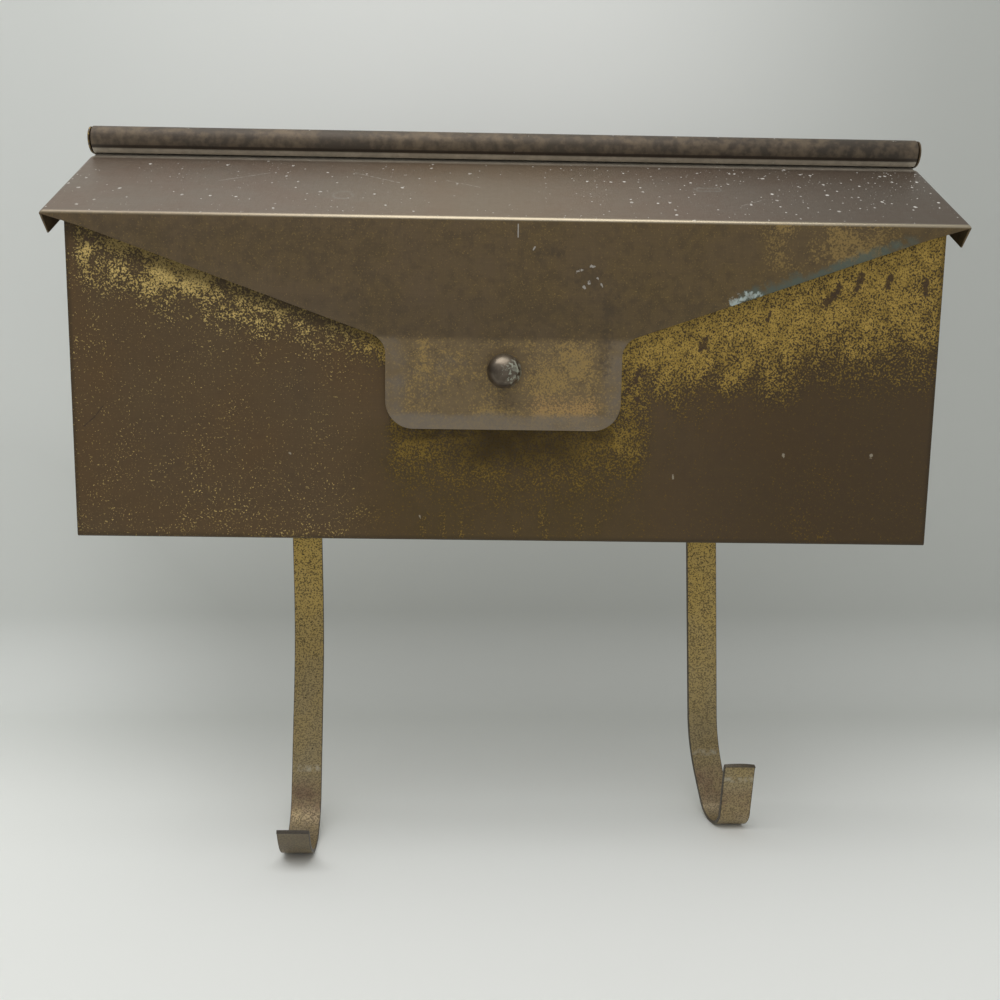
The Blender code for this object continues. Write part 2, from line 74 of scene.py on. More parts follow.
def tone(red: int, green: int, blue: int) -> Colour:
    """Turn a colour as seen on a screen into the linear colour that a shader takes.

    Args:
        red: Red from 0 to 255.
        green: Green from 0 to 255.
        blue: Blue from 0 to 255.

    Returns:
        The linear colour.
    """
    red_light, green_light, blue_light = (
        share / 12.92 if share <= 0.04045 else ((share + 0.055) / 1.055) ** 2.4
        for share in (red / 255, green / 255, blue / 255))
    return red_light, green_light, blue_light


@dataclass(frozen=True)
class Wire:
    """An output socket that can be calculated with."""

    tree: bpy.types.NodeTree
    socket: bpy.types.NodeSocket

    def maths(self, operation: str, *others: Value, clamp: bool = False) -> "Wire":
        """Add a Math node that works on this value.

        Args:
            operation: The node's operation.
            others: Its second and third values.
            clamp: Whether the result stays between 0 and 1.

        Returns:
            The result.
        """
        node = self.tree.nodes.new("ShaderNodeMath")
        node.operation = operation
        node.use_clamp = clamp
        for place, value in enumerate((self, *others)):
            plug(self.tree, node.inputs[place], value)
        return Wire(self.tree, node.outputs[0])

    def __add__(self, other: Value) -> "Wire":
        """Sum."""
        return self.maths("ADD", other)

    def __sub__(self, other: Value) -> "Wire":
        """Difference."""
        return self.maths("SUBTRACT", other)

    def __mul__(self, other: Value) -> "Wire":
        """Product."""
        return self.maths("MULTIPLY", other)

    def __truediv__(self, other: Value) -> "Wire":
        """Quotient."""
        return self.maths("DIVIDE", other)

    def rsub(self, number: float) -> "Wire":
        """A number minus this value."""
        return self.maths("MULTIPLY_ADD", -1.0, number)

    def inverse(self) -> "Wire":
        """One over this value."""
        return self.maths("POWER", -1.0)

    def size(self) -> "Wire":
        """Value without its sign."""
        return self.maths("ABSOLUTE")

    def most(self, other: Value) -> "Wire":
        """Larger of two values."""
        return self.maths("MAXIMUM", other)

    def clamp(self) -> "Wire":
        """Value kept between 0 and 1."""
        return self.maths("ADD", 0.0, clamp=True)

    def ramp(self, low: Value, high: Value, smooth: bool = True) -> "Wire":
        """Rise from 0 to 1 between two values.

        Args:
            low: Where the result is 0.
            high: Where the result is 1.
            smooth: Whether the rise eases in and out.

        Returns:
            The share between 0 and 1.
        """
        node = self.tree.nodes.new("ShaderNodeMapRange")
        node.interpolation_type = "SMOOTHSTEP" if smooth else "LINEAR"
        for name, value in (("Value", self), ("From Min", low), ("From Max", high)):
            plug(self.tree, node.inputs[name], value)
        return Wire(self.tree, node.outputs["Result"])

    def span(self, rise: Point2, fall: Point2) -> "Wire":
        """Share that rises between two values and falls between two others."""
        return self.ramp(*rise) * self.ramp(*fall)

    def near(self, middle: float, far: float, close: float) -> "Wire":
        """Share that is 1 within a close distance of a value and 0 from a far one on."""
        return (self - middle).size().ramp(far, close)


def plug(tree: bpy.types.NodeTree, target: bpy.types.NodeSocket, value: object) -> None:
    """Link a wire to a socket, or write a plain value on it.

    Args:
        tree: The tree that holds the socket.
        target: The input socket.
        value: A wire, a number, or a group of numbers.
    """
    if isinstance(value, Wire):
        tree.links.new(value.socket, target)
    elif isinstance(value, (tuple, list)) and target.type == "RGBA":
        target.default_value = (*value, 1.0)
    else:
        target.default_value = value


def vector_maths(tree: bpy.types.NodeTree, operation: str, *values: object) -> Wire:
    """Add a Vector Math node.

    Args:
        tree: The tree that it goes in.
        operation: Its operation.
        values: Wires or plain values for its inputs, in order.

    Returns:
        Its result, a number for a dot product or a distance and a vector for the others.
    """
    node = tree.nodes.new("ShaderNodeVectorMath")
    node.operation = operation
    for place, value in enumerate(values):
        slot = node.inputs["Scale"] if operation == "SCALE" and place == 1 else node.inputs[place]
        plug(tree, slot, value)
    return Wire(tree, node.outputs["Value" if operation in ("DOT_PRODUCT", "DISTANCE") else "Vector"])


def noise(tree: bpy.types.NodeTree, place: Wire, scale: Value, detail: float, rough: float = 0.5) -> Wire:
    """Add a Noise Texture.

    Args:
        tree: The tree that it goes in.
        place: Where on the surface it is read.
        scale: Waves a metre.
        detail: Number of finer layers.
        rough: Strength of each finer layer.

    Returns:
        The noise value, around 0.5.
    """
    node = tree.nodes.new("ShaderNodeTexNoise")
    for name, value in (("Detail", detail), ("Roughness", rough), ("Vector", place), ("Scale", scale)):
        plug(tree, node.inputs[name], value)
    return Wire(tree, node.outputs["Fac"])


def mix_colours(tree: bpy.types.NodeTree, share: Value, under: Tint, over: Tint) -> Wire:
    """Mix two colours.

    Args:
        tree: The tree that the node goes in.
        share: Share of the second one.
        under: First colour.
        over: Second colour.

    Returns:
        The mixed colour.
    """
    node = tree.nodes.new("ShaderNodeMix")
    node.data_type = "RGBA"
    for slot, value in (("Factor", share), (6, under), (7, over)):
        plug(tree, node.inputs[slot], value)
    return Wire(tree, node.outputs[2])


def object_place(tree: bpy.types.NodeTree) -> tuple[Wire, Wire, Wire, Wire]:
    """Surface place in the object's own coordinates.

    Args:
        tree: The tree that reads it.

    Returns:
        The place, and its X, Y and Z.
    """
    place = Wire(tree, tree.nodes.new("ShaderNodeTexCoord").outputs["Object"])
    split = tree.nodes.new("ShaderNodeSeparateXYZ")
    plug(tree, split.inputs[0], place)
    x, y, z = (Wire(tree, output) for output in split.outputs)
    return place, x, y, z


class Effect(Enum):
    """Effects that several finishes share."""

    GRAIN = "speckled cover"
    CLOUDS = "cloudy tone"
    STROKE = "placed stroke"
    FLECKS = "scattered flecks"
    BRUSH = "brushed lines"


class EffectShelf:
    """The shared node groups, each built once."""

    def __init__(self) -> None:
        """Build every group."""
        self.groups: dict[Effect, bpy.types.NodeTree] = {
            Effect.GRAIN: self.build_grain(),
            Effect.CLOUDS: self.build_clouds(),
            Effect.STROKE: self.build_stroke(),
            Effect.FLECKS: self.build_flecks(),
            Effect.BRUSH: self.build_brush(),
        }

    @staticmethod
    def start(
        effect: Effect, numbers: dict[str, float], vectors: Sequence[str] = ("Place",)
    ) -> tuple[bpy.types.NodeTree, dict[str, Wire], bpy.types.NodeSocket]:
        """Make an empty group with its sockets.

        Args:
            effect: Which effect it is.
            numbers: Name and plain value of each number input.
            vectors: Names of its vector inputs.

        Returns:
            The tree, its inputs by name, and its output socket.
        """
        tree = bpy.data.node_groups.new(effect.value, "ShaderNodeTree")
        for name in vectors:
            tree.interface.new_socket(name, in_out="INPUT", socket_type="NodeSocketVector")
        for name, value in numbers.items():
            socket = tree.interface.new_socket(name, in_out="INPUT", socket_type="NodeSocketFloat")
            socket.default_value = value
        tree.interface.new_socket("Mask", in_out="OUTPUT", socket_type="NodeSocketFloat")
        entry = tree.nodes.new("NodeGroupInput")
        leave = tree.nodes.new("NodeGroupOutput")
        wires = {name: Wire(tree, entry.outputs[name]) for name in (*vectors, *numbers)}
        return tree, wires, leave.inputs["Mask"]

    def build_grain(self) -> bpy.types.NodeTree:
        """Fine worm-like speckle, which covers a given share of the surface.

        Returns:
            The group.
        """
        tree, put, mask = self.start(Effect.GRAIN, {"Size": 0.001, "Cover": 0.5, "Soft": 0.1})
        fine = noise(tree, put["Place"], put["Size"].inverse(), 2.0, 0.65).ramp(0.28, 0.72, False)
        level = put["Cover"].rsub(1.0)
        plug(tree, mask, fine.ramp(level - put["Soft"], level + put["Soft"]))
        return tree

    def build_clouds(self) -> bpy.types.NodeTree:
        """Cloudy tone from 0 to 1.

        Returns:
            The group.
        """
        tree, put, mask = self.start(Effect.CLOUDS, {"Size": 0.05, "Low": 0.35, "High": 0.65})
        cloud = noise(tree, put["Place"], put["Size"].inverse(), 3.0, 0.6)
        plug(tree, mask, cloud.ramp(put["Low"], put["High"]))
        return tree

    def build_stroke(self) -> bpy.types.NodeTree:
        """A stroke with ragged sides between two points, or a blot where both are the same.

        Returns:
            The group.
        """
        numbers = {"Width": 0.001, "Ragged": 0.5, "Soft": 0.5, "Jag": 0.0}
        tree, put, mask = self.start(Effect.STROKE, numbers, ("Place", "Start", "End"))
        run = vector_maths(tree, "SUBTRACT", put["End"], put["Start"])
        reach = vector_maths(tree, "SUBTRACT", put["Place"], put["Start"])
        along = vector_maths(tree, "DOT_PRODUCT", reach, run)
        whole = vector_maths(tree, "DOT_PRODUCT", run, run)
        nearest = vector_maths(tree, "SCALE", run, (along / whole.most(1e-9)).clamp())
        half = put["Width"] * 0.5
        ragged = vector_maths(tree, "DISTANCE", reach, nearest) + put["Jag"] * put["Ragged"] * half * 2.0
        plug(tree, mask, ragged.ramp(half, half * put["Soft"].rsub(1.0)))
        return tree

    def build_flecks(self) -> bpy.types.NodeTree:
        """Scattered flecks of mixed size, read in the X and Y of their place.

        Returns:
            The group.
        """
        tree, put, mask = self.start(Effect.FLECKS, {"Cell": 0.01, "Share": 0.5, "Size": 0.3, "Jag": 0.0})
        cells = tree.nodes.new("ShaderNodeTexVoronoi")
        cells.voronoi_dimensions = "2D"
        cells.inputs["Scale"].default_value = 1.0
        plug(tree, cells.inputs["Vector"], vector_maths(tree, "SCALE", put["Place"], put["Cell"].inverse()))
        split = tree.nodes.new("ShaderNodeSeparateColor")
        tree.links.new(cells.outputs["Color"], split.inputs[0])
        chance, girth = (Wire(tree, output) for output in list(split.outputs)[:2])
        radius = put["Size"] * (girth.maths("POWER", 1.7) * 0.75 + 0.25)
        apart = Wire(tree, cells.outputs["Distance"]) + put["Jag"] * radius * 0.55
        spot = apart.ramp(radius, radius * 0.55)
        plug(tree, mask, spot * chance.maths("LESS_THAN", put["Share"]))
        return tree

    def build_brush(self) -> bpy.types.NodeTree:
        """Fine lines rubbed along X and along Z.

        Returns:
            The group.
        """
        tree, put, mask = self.start(Effect.BRUSH, {"Width": 0.0006, "Length": 0.02})
        fine, long = put["Width"].inverse(), put["Length"].inverse()
        layers = []
        for scales in ((long, fine, fine), (fine, long, long)):
            squeeze = tree.nodes.new("ShaderNodeCombineXYZ")
            for slot, scale in zip(squeeze.inputs, scales):
                plug(tree, slot, scale)
            place = vector_maths(tree, "MULTIPLY", put["Place"], Wire(tree, squeeze.outputs[0]))
            layers.append(noise(tree, place, 1.0, 1.0))
        plug(tree, mask, ((layers[0] + layers[1]) * 0.5).ramp(0.38, 0.62))
        return tree


@dataclass(frozen=True)
class Blemish:
    """A placed mark: its two ends, its width, and how ragged and how soft its sides are."""

    start: Point2
    end: Point2
    width: float
    ragged: float = 0.6
    soft: float = 0.5


class Canvas:
    """A material while its nodes are laid out."""

    def __init__(self, name: str, shelf: EffectShelf) -> None:
        """Start a material.

        Args:
            name: The material's name.
            shelf: The shared effects.
        """
        self.material = bpy.data.materials.new(name)
        self.material.use_nodes = True
        self.tree = self.material.node_tree
        self.shader = self.tree.nodes["Principled BSDF"]
        self.shelf = shelf
        self.place, self.x, self.y, self.z = object_place(self.tree)
        self.jag = (noise(self.tree, self.place, 560.0, 2.0, 0.6) - 0.5) * 3.0

    def flat(self, **axes: Wire) -> Wire:
        """Surface place with some of its parts left out.

        Args:
            axes: The wires for the parts that stay, named X, Y or Z.

        Returns:
            The place.
        """
        node = self.tree.nodes.new("ShaderNodeCombineXYZ")
        for axis, wire in axes.items():
            plug(self.tree, node.inputs[axis], wire)
        return Wire(self.tree, node.outputs[0])

    def use(self, effect: Effect, place: Wire | None = None, **values: object) -> Wire:
        """Place a shared effect.

        Args:
            effect: Which one.
            place: Where on the surface it is read, if not the plain place.
            values: Its other inputs by name.

        Returns:
            Its mask.
        """
        node = self.tree.nodes.new("ShaderNodeGroup")
        node.node_tree = self.shelf.groups[effect]
        for name, value in {"Place": place or self.place, **values}.items():
            plug(self.tree, node.inputs[name], value)
        return Wire(self.tree, node.outputs["Mask"])

    def clouds(self, size: float, margin: float = 0.30, place: Wire | None = None) -> Wire:
        """Cloudy tone of one size, clipped by a margin below and above."""
        return self.use(Effect.CLOUDS, place, Size=size, Low=margin, High=1.0 - margin)

    def marks(self, marks: Sequence[Blemish], upright: bool = True) -> Wire:
        """Lay placed marks on a surface.

        Args:
            marks: The marks.
            upright: Whether they lie on the front, in X and Z, and not on the roof, in X and Y.

        Returns:
            Their joint mask.
        """
        place = self.flat(X=self.x, Z=self.z) if upright else self.flat(X=self.x, Y=self.y)
        masks = []
        for mark in marks:
            start, end = ((a, 0.0, b) if upright else (a, b, 0.0) for a, b in (mark.start, mark.end))
            masks.append(self.use(
                Effect.STROKE, place, Start=start, End=end, Width=mark.width,
                Ragged=mark.ragged, Soft=mark.soft, Jag=self.jag))
        return reduce(Wire.most, masks)

    def layers(self, base: Tint, *coats: tuple[Value, Tint]) -> Wire:
        """Lay coats of colour over each other.

        Args:
            base: The first colour.
            coats: The share and the colour of each coat, in order.

        Returns:
            The resulting colour.
        """
        for share, colour in coats:
            base = mix_colours(self.tree, share, base, colour)
        return base

    def blend(self, share: Wire, under: Value, over: Value) -> Wire:
        """Mix two numbers.

        Args:
            share: Share of the second one.
            under: First number.
            over: Second number.

        Returns:
            The mixed number.
        """
        node = self.tree.nodes.new("ShaderNodeMix")
        for slot, value in (("Factor", share), (2, under), (3, over)):
            plug(self.tree, node.inputs[slot], value)
        return Wire(self.tree, node.outputs[0])

    def relief(self, fine: float, broad: float) -> Wire:
        """Plain uneven relief of old sheet metal, from the sizes of its pits and of its waves."""
        pits = noise(self.tree, self.place, 1.0 / fine, 1.0)
        return pits * 0.30 + noise(self.tree, self.place, 1.0 / broad, 0.0) * 0.70

    def finish(
        self, colour: Wire, rough: Wire, metal: Wire, height: Wire, depth: float
    ) -> bpy.types.Material:
        """Join the last values to the shader.

        Args:
            colour: Base colour.
            rough: Roughness.
            metal: Metallic share.
            height: Relief from 0 to 1.
            depth: Height of the relief in metres.

        Returns:
            The finished material.
        """
        bump = self.tree.nodes.new("ShaderNodeBump")
        for name, value in (("Distance", depth), ("Strength", 1.0), ("Height", height)):
            plug(self.tree, bump.inputs[name], value)
        normal = Wire(self.tree, bump.outputs["Normal"])
        ends = (("Base Color", colour), ("Roughness", rough), ("Metallic", metal), ("Normal", normal))
        for name, value in ends:
            plug(self.tree, self.shader.inputs[name], value)
        return self.material


@dataclass(frozen=True)
class PanelFinish:
    """Front panel: brown patina with the yellow brass that the flap kept from the weather."""

    brown: Colour = tone(93, 75, 50)
    brown_dark: Colour = tone(70, 54, 30)
    brown_red: Colour = tone(95, 72, 43)
    gold: Colour = tone(188, 157, 80)
    crumb: Colour = tone(226, 198, 126)
    olive: Colour = tone(116, 93, 36)
    shade: Colour = tone(52, 39, 14)
    moss: Colour = tone(74, 58, 20)
    pit: Colour = tone(52, 41, 25)
    stain: Colour = tone(70, 54, 40)
    pale: Colour = tone(168, 158, 138)
    left_line: Point2 = (-0.339, -0.0202)
    right_line: Point2 = (0.352, -0.0242)
    left_lean: float = 0.947
    right_lean: float = 0.943
    depth: float = 0.00012
    dark_marks: tuple[Blemish, ...] = (
        Blemish((0.1476, 0.0152), (0.1546, 0.0245), 0.0040, 0.5, 0.6),
        Blemish((0.1621, 0.0237), (0.1645, 0.0301), 0.0042, 0.5, 0.6),
        Blemish((0.1768, 0.0256), (0.1778, 0.0296), 0.0040, 0.5, 0.7),
        Blemish((0.1948, 0.0226), (0.1950, 0.0276), 0.0036, 0.5, 0.7),
        Blemish((0.0927, -0.0003), (0.0922, -0.0036), 0.0058, 0.5, 0.7),
        Blemish((0.1210, 0.0090), (0.1225, 0.0115), 0.0022, 0.9, 0.8),
        Blemish((-0.1930, 0.0410), (-0.1890, 0.0404), 0.0036, 1.0, 0.7),
        Blemish((0.0574, -0.0241), (0.0627, -0.0156), 0.0036, 1.3, 0.9),
        Blemish((0.0610, -0.0330), (0.0628, -0.0260), 0.0022, 1.3, 0.9),
        Blemish((-0.1974, -0.0444), (-0.1925, -0.0402), 0.0010, 0.3, 0.7),
        Blemish((-0.1925, -0.0402), (-0.1882, -0.0349), 0.0009, 0.3, 0.7),
    )
    pale_marks: tuple[Blemish, ...] = (
        Blemish((-0.1014, -0.0559), (-0.1010, -0.0562), 0.0013),
        Blemish((0.1321, -0.0538), (0.1325, -0.0550), 0.0013),
        Blemish((0.1737, -0.0532), (0.1741, -0.0536), 0.0018),
        Blemish((0.0800, -0.0640), (0.0802, -0.0655), 0.0010),
        Blemish((-0.0400, -0.0850), (-0.0398, -0.0862), 0.0009),
    )

    def cover(self, canvas: Canvas, cloud: Wire, fine: Wire) -> tuple[Wire, Wire]:
        """How much yellow brass shows, from 0 to 1, and how far dirt and painted shade darken it.

        Args:
            canvas: The material.
            cloud: Cloudy tone that breaks up its edge.
            fine: Finer cloudy tone.

        Returns:
            The two shares.
        """
        x, z = canvas.x, canvas.z
        left = (x * self.left_line[0] + self.left_line[1] - z) * self.left_lean
        right = (x * self.right_line[0] + self.right_line[1] - z) * self.right_lean
        outside = (x - TONGUE_X).size() - TONGUE_HALF
        under = z.rsub(TONGUE_BOTTOM_Z)
        apart = outside.most(0.0).maths("POWER", 2.0) + under.most(0.0).maths("POWER", 2.0)
        apart = apart.maths("SQRT")
        clump = cloud * 0.8 + fine * 0.9
        drip = canvas.clouds(0.0055, place=canvas.flat(X=x, Z=z * 0.15))

        left_reach = x.ramp(-0.075, -0.165) * 0.009 + 0.0135
        left_band = (left / left_reach).ramp(1.9, 0.0) * (clump * 0.46 + 0.15)
        left_band = left_band.most(left.ramp(0.075, 0.012) * drip * fine * 0.34)
        left_band = left_band * x.span((-0.2035, -0.193), (-0.030, -0.062))
        right_reach = x.ramp(0.06, 0.19, False) * 0.026 + drip * 0.004 + cloud * 0.009 + 0.013
        right_band = (right / right_reach).ramp(2.10, 0.30) * (clump * 0.15 + 0.50)
        right_band = right_band.most(right.ramp(0.100, 0.020) * drip * (cloud * 0.28 + 0.14))
        right_band = right_band * x.ramp(0.020, 0.054)
        side = (apart / 0.018).ramp(1.5, 0.2) * (clump * 0.16 + 0.46)
        side = side * x.span((0.046, 0.056), (0.085, 0.065)) * z.ramp(-0.080, -0.044)
        below = (apart / 0.039).ramp(1.5, 0.0) * (clump * 0.26 + 0.36)
        below = below * z.ramp(-0.036, -0.046).most(outside.ramp(0.001, -0.003))
        below = below * x.span((-0.066, -0.046), (0.078, 0.058))
        threads = x.near(0.0, 0.100, 0.020) * z.ramp(-0.050, -0.072) * (drip * 0.30 + fine * 0.12)

        upper = left_band.most(right_band).most(side)
        # Dirt and painted shade: the yellow below the tongue and beside its right side darkens towards
        # olive.
        dirt_and_shade = (below - upper * 1.2).ramp(0.0, 0.25)
        dirt_and_shade = dirt_and_shade.most(side.ramp(0.15, 0.45) * z.ramp(-0.012, -0.042) * 0.75)
        return upper.most(below).most(threads).clamp(), dirt_and_shade

    def painted_shadow(self, canvas: Canvas, cloud: Wire, fine: Wire) -> Wire:
        """Painted shadow under the tongue and along the flap's left edge.

        Args:
            canvas: The material.
            cloud: Cloudy tone.
            fine: Finer cloudy tone.

        Returns:
            Its mask.
        """
        x, z = canvas.x, canvas.z
        gloom = x.near(0.004, 0.050, 0.012) * z.near(-0.050, 0.018, 0.004) * (cloud * 0.4 + 0.5)
        tongue_shadow_line = x.near(TONGUE_X, 0.058, 0.044) * z.near(-0.0455, 0.0065, 0.0010) * (fine * 0.50 + 0.32)
        beside = x * self.left_line[0] + self.left_line[1] - z
        flap_edge_shadow = beside.near(0.002, 0.0075, 0.0005) * x.ramp(-0.04, -0.06) * 0.65
        return gloom.most(tongue_shadow_line).most(flap_edge_shadow)

    def make(self, shelf: EffectShelf) -> bpy.types.Material:
        """Lay out the finish.

        Args:
            shelf: The shared effects.

        Returns:
            The material.
        """
        canvas = Canvas("front_panel_patina", shelf)
        x, z = canvas.x, canvas.z
        cloud, broad, fine = canvas.clouds(0.022), canvas.clouds(0.110, 0.35), canvas.clouds(0.0060)
        brush = canvas.use(Effect.BRUSH, Width=0.0006, Length=0.014)
        cover, dirt_and_shade = self.cover(canvas, cloud, fine)
        scatter = (cloud * broad).ramp(0.15, 0.75) * 0.13 + 0.07 + z.ramp(-0.05, -0.09) * cloud * 0.10
        grain = canvas.use(Effect.GRAIN, Size=0.00090, Cover=cover.most(scatter), Soft=0.17)
        pits = canvas.use(Effect.GRAIN, Size=0.00075, Cover=cover * 0.16 + 0.22, Soft=0.15)
        halo = x.near(0.0, 0.090, 0.040) * z.ramp(-0.036, -0.047) * (cloud * 0.4 + 0.6)
        body = canvas.layers(
            self.brown,
            (broad, self.brown_red),
            (x.ramp(0.02, 0.15) * 0.70 + z.ramp(-0.02, -0.09) * 0.20, self.brown_dark),
            (brush * 0.14, self.brown_dark),
            (fine * cloud * 0.30, self.stain),
            (cover.ramp(0.08, 0.55) * 0.60, self.pit),
            (halo * 0.60, self.moss),
        )
        yellow = canvas.layers(
            self.olive,
            (cover.ramp(0.10, 0.70) * (fine * 0.4 + 0.6), self.gold),
            (x.ramp(-0.05, -0.09) * (fine * 0.5 + 0.4), self.crumb),
            # dirt and painted shade turn the yellow olive
            (dirt_and_shade * 0.80, self.olive),
            (pits * 0.72, self.pit),
        )
        # Painted shade in the gaps at the side seams, joined with a darker band along the bottom edge.
        side_seam_shade = x.size().ramp(BOX_HALF_WIDTH - 0.0030, BOX_HALF_WIDTH - 0.0008)
        edge = side_seam_shade.most(z.ramp(BOX_BOTTOM_Z + 0.0028, BOX_BOTTOM_Z + 0.0008))
        colour = canvas.layers(
            body,
            (grain, yellow),
            # painted shadow under the tongue and along the flap's left edge
            (self.painted_shadow(canvas, cloud, fine), self.shade),
            (canvas.marks(self.dark_marks) * 0.88, self.stain),
            (canvas.marks(self.pale_marks) * 0.7, self.pale),
            (edge * 0.55, self.pit),
        )
        rough = canvas.blend(grain, canvas.blend(broad, 0.40, 0.46), 0.44) + fine * 0.06
        metal = canvas.blend(grain, 0.45, 0.72)
        return canvas.finish(colour, rough, metal, canvas.relief(0.0011, 0.020), self.depth)


@dataclass(frozen=True)
class LidFinish:
    """Lid: grey-brown roof with white droplets, brown flap with stains and green corrosion."""

    roof: Colour = tone(114, 103, 91)
    roof_warm: Colour = tone(112, 93, 79)
    roof_shady: Colour = tone(84, 73, 62)
    flap: Colour = tone(100, 83, 60)
    flap_olive: Colour = tone(102, 84, 51)
    tongue: Colour = tone(130, 111, 80)
    gold: Colour = tone(172, 144, 88)
    orange: Colour = tone(178, 142, 94)
    grey: Colour = tone(122, 112, 100)
    dark: Colour = tone(60, 51, 42)
    green: Colour = tone(84, 94, 84)
    green_pale: Colour = tone(184, 196, 192)
    droplet: Colour = tone(214, 210, 202)
    rub: Colour = tone(140, 122, 98)
    fold_wear_highlight: Colour = tone(196, 184, 160)
    roll: Colour = tone(60, 53, 44)
    crease_light: Colour = tone(206, 196, 178)
    roof_rear_z: float = 0.0895
    roll_edge_shadow_z: float = 0.0929
    flange_x: float = 0.2110
    right_line: Point2 = (0.352, -0.0227)
    right_lean: float = 0.943
    depth: float = 0.00012
    ring_marks: tuple[Blemish, ...] = (
        Blemish((-0.0786, -0.0549), (-0.0776, -0.0549), 0.0105, 0.10, 0.30),
        Blemish((0.0935, -0.0411), (0.1025, -0.0411), 0.0062, 0.30, 0.60),
    )
    ring_holes: tuple[Blemish, ...] = (
        Blemish((-0.0786, -0.0549), (-0.0776, -0.0549), 0.0088, 0.15, 0.30),
        Blemish((0.0935, -0.0411), (0.1025, -0.0411), 0.0034, 0.30, 0.60),
    )
    roof_scratches: tuple[Blemish, ...] = (
        Blemish((-0.1400, -0.0400), (-0.1175, -0.0292), 0.0006, 0.4, 0.9),
        Blemish((-0.0758, -0.0272), (-0.0525, -0.0390), 0.0007, 0.6, 0.9),
        Blemish((-0.0300, -0.0350), (-0.0130, -0.0430), 0.0005, 0.5, 0.9),
        Blemish((0.1100, -0.0600), (0.1230, -0.0520), 0.0005, 0.5, 0.9),
    )
    smudges_and_knob_shadow: tuple[Blemish, ...] = (
        Blemish((0.0365, 0.0270), (0.0390, 0.0255), 0.0160, 0.5, 0.9),
        Blemish((0.0470, 0.0200), (0.0455, -0.0150), 0.0065, 0.9, 1.0),
        # Painted shadow of the knob, on the tongue below it.
        Blemish((-0.0010, -0.0240), (0.0010, -0.0330), 0.0110, 0.5, 1.0),
        Blemish((0.0140, 0.0365), (0.0240, 0.0395), 0.0050, 0.9, 0.9),
    )
    flap_scratches: tuple[Blemish, ...] = (
        Blemish((0.0044, 0.0505), (0.0044, 0.0448), 0.0006, 0.2),
        Blemish((0.0122, 0.0405), (0.0114, 0.0392), 0.0007, 0.3),
        Blemish((0.0318, 0.0298), (0.0338, 0.0303), 0.0009, 1.4, 0.9),
        Blemish((0.0380, 0.0325), (0.0398, 0.0321), 0.0008, 1.5, 0.9),
        Blemish((0.0412, 0.0270), (0.0430, 0.0243), 0.0007, 1.4, 0.9),
        Blemish((0.0430, 0.0243), (0.0437, 0.0230), 0.0006, 1.2, 0.9),
        Blemish((0.0362, 0.0252), (0.0372, 0.0238), 0.0014, 1.6, 1.0),
        Blemish((0.0348, 0.0232), (0.0356, 0.0222), 0.0009, 1.4, 0.9),
    )
    streak: Blemish = Blemish((-0.0390, -0.0040), (-0.0375, -0.0150), 0.0090, 0.5, 1.0)
    warm_patch: Blemish = Blemish((0.0160, -0.0322), (0.0400, -0.0328), 0.0170, 0.3, 1.0)
    bright_crust: Blemish = Blemish((0.1040, 0.0170), (0.1145, 0.0205), 0.0050, 0.7, 0.9)

    def roof_tone(self, canvas: Canvas, cloud: Wire, broad: Wire, brush: Wire) -> tuple[Wire, Wire]:
        """Colour of the roof without its droplets.

        Args:
            canvas: The material.
            cloud: Cloudy tone.
            broad: Broader cloudy tone.
            brush: Brushed lines.

        Returns:
            The colour, and the mask of the two ring marks.
        """
        ring = (canvas.marks(self.ring_marks, False) - canvas.marks(self.ring_holes, False)).clamp()
        ring = ring * (cloud * 0.7 + 0.3)
        roof = canvas.layers(
            self.roof,
            (cloud * 0.5 + broad * 0.3, self.roof_warm),
            (brush * 0.20, self.flap),
            (canvas.x.ramp(0.04, 0.20) * 0.75, self.roof_shady),
            # painted reflection: the roof lightened towards its middle
            (canvas.x.near(-0.01, 0.11, 0.01) * 0.30, self.tongue),
            (ring * 0.26, self.green_pale),
            (canvas.marks(self.roof_scratches, False) * 0.32, self.droplet),
        )
        return roof, ring

    def droplets(self, canvas: Canvas, on_roll: Wire) -> Wire:
        """White lime droplets, closest together at the right rear.

        Args:
            canvas: The material.
            on_roll: Mask of the hinge roll.

        Returns:
            Their mask.
        """
        x, y = canvas.x, canvas.y
        plan = canvas.flat(X=x, Y=y)
        crowd = x.ramp(0.02, 0.17) * y.ramp(-0.066, -0.018) * 0.46 + 0.29
        crowd = crowd * (noise(canvas.tree, plan, 28.0, 1.0).ramp(0.30, 0.58) * 0.85 + 0.15)
        crowd = crowd * canvas.blend(on_roll, 1.0, y.ramp(-0.0142, -0.0120) * 0.3)
        drops, splash = (
            canvas.use(Effect.FLECKS, plan, Cell=cell, Share=crowd, Size=size, Jag=canvas.jag)
            for cell, size in ((0.0064, 0.17), (0.0036, 0.14)))
        return drops.most(splash)

    def speckle(self, canvas: Canvas, cloud: Wire, on_tongue: Wire) -> tuple[Wire, Wire]:
        """Bare yellow speckle on the flap, thickest on the tongue and at the upper right corner.

        Args:
            canvas: The material.
            cloud: Cloudy tone.
            on_tongue: Mask of the tongue.

        Returns:
            Its mask, and the mask of that corner.
        """
        x, z = canvas.x, canvas.z
        inner = x.span((-0.002, 0.016), (0.046, 0.036))
        corner = x.span((0.108, 0.130), (0.186, 0.160)) * z.ramp(0.026, 0.038)
        cover = cloud * 0.12 + 0.05 + on_tongue * (inner * 0.32 + 0.20) * (cloud * 1.0 + 0.25)
        cover = cover + corner * (cloud * 1.1 - 0.10) * 0.62 + canvas.marks([self.streak]) * 0.28
        cover = cover + z.ramp(-0.030, -0.0345) * x.ramp(-0.046, -0.030) * on_tongue * cloud * 0.28
        return canvas.use(Effect.GRAIN, Size=0.00080, Cover=cover, Soft=0.22), corner

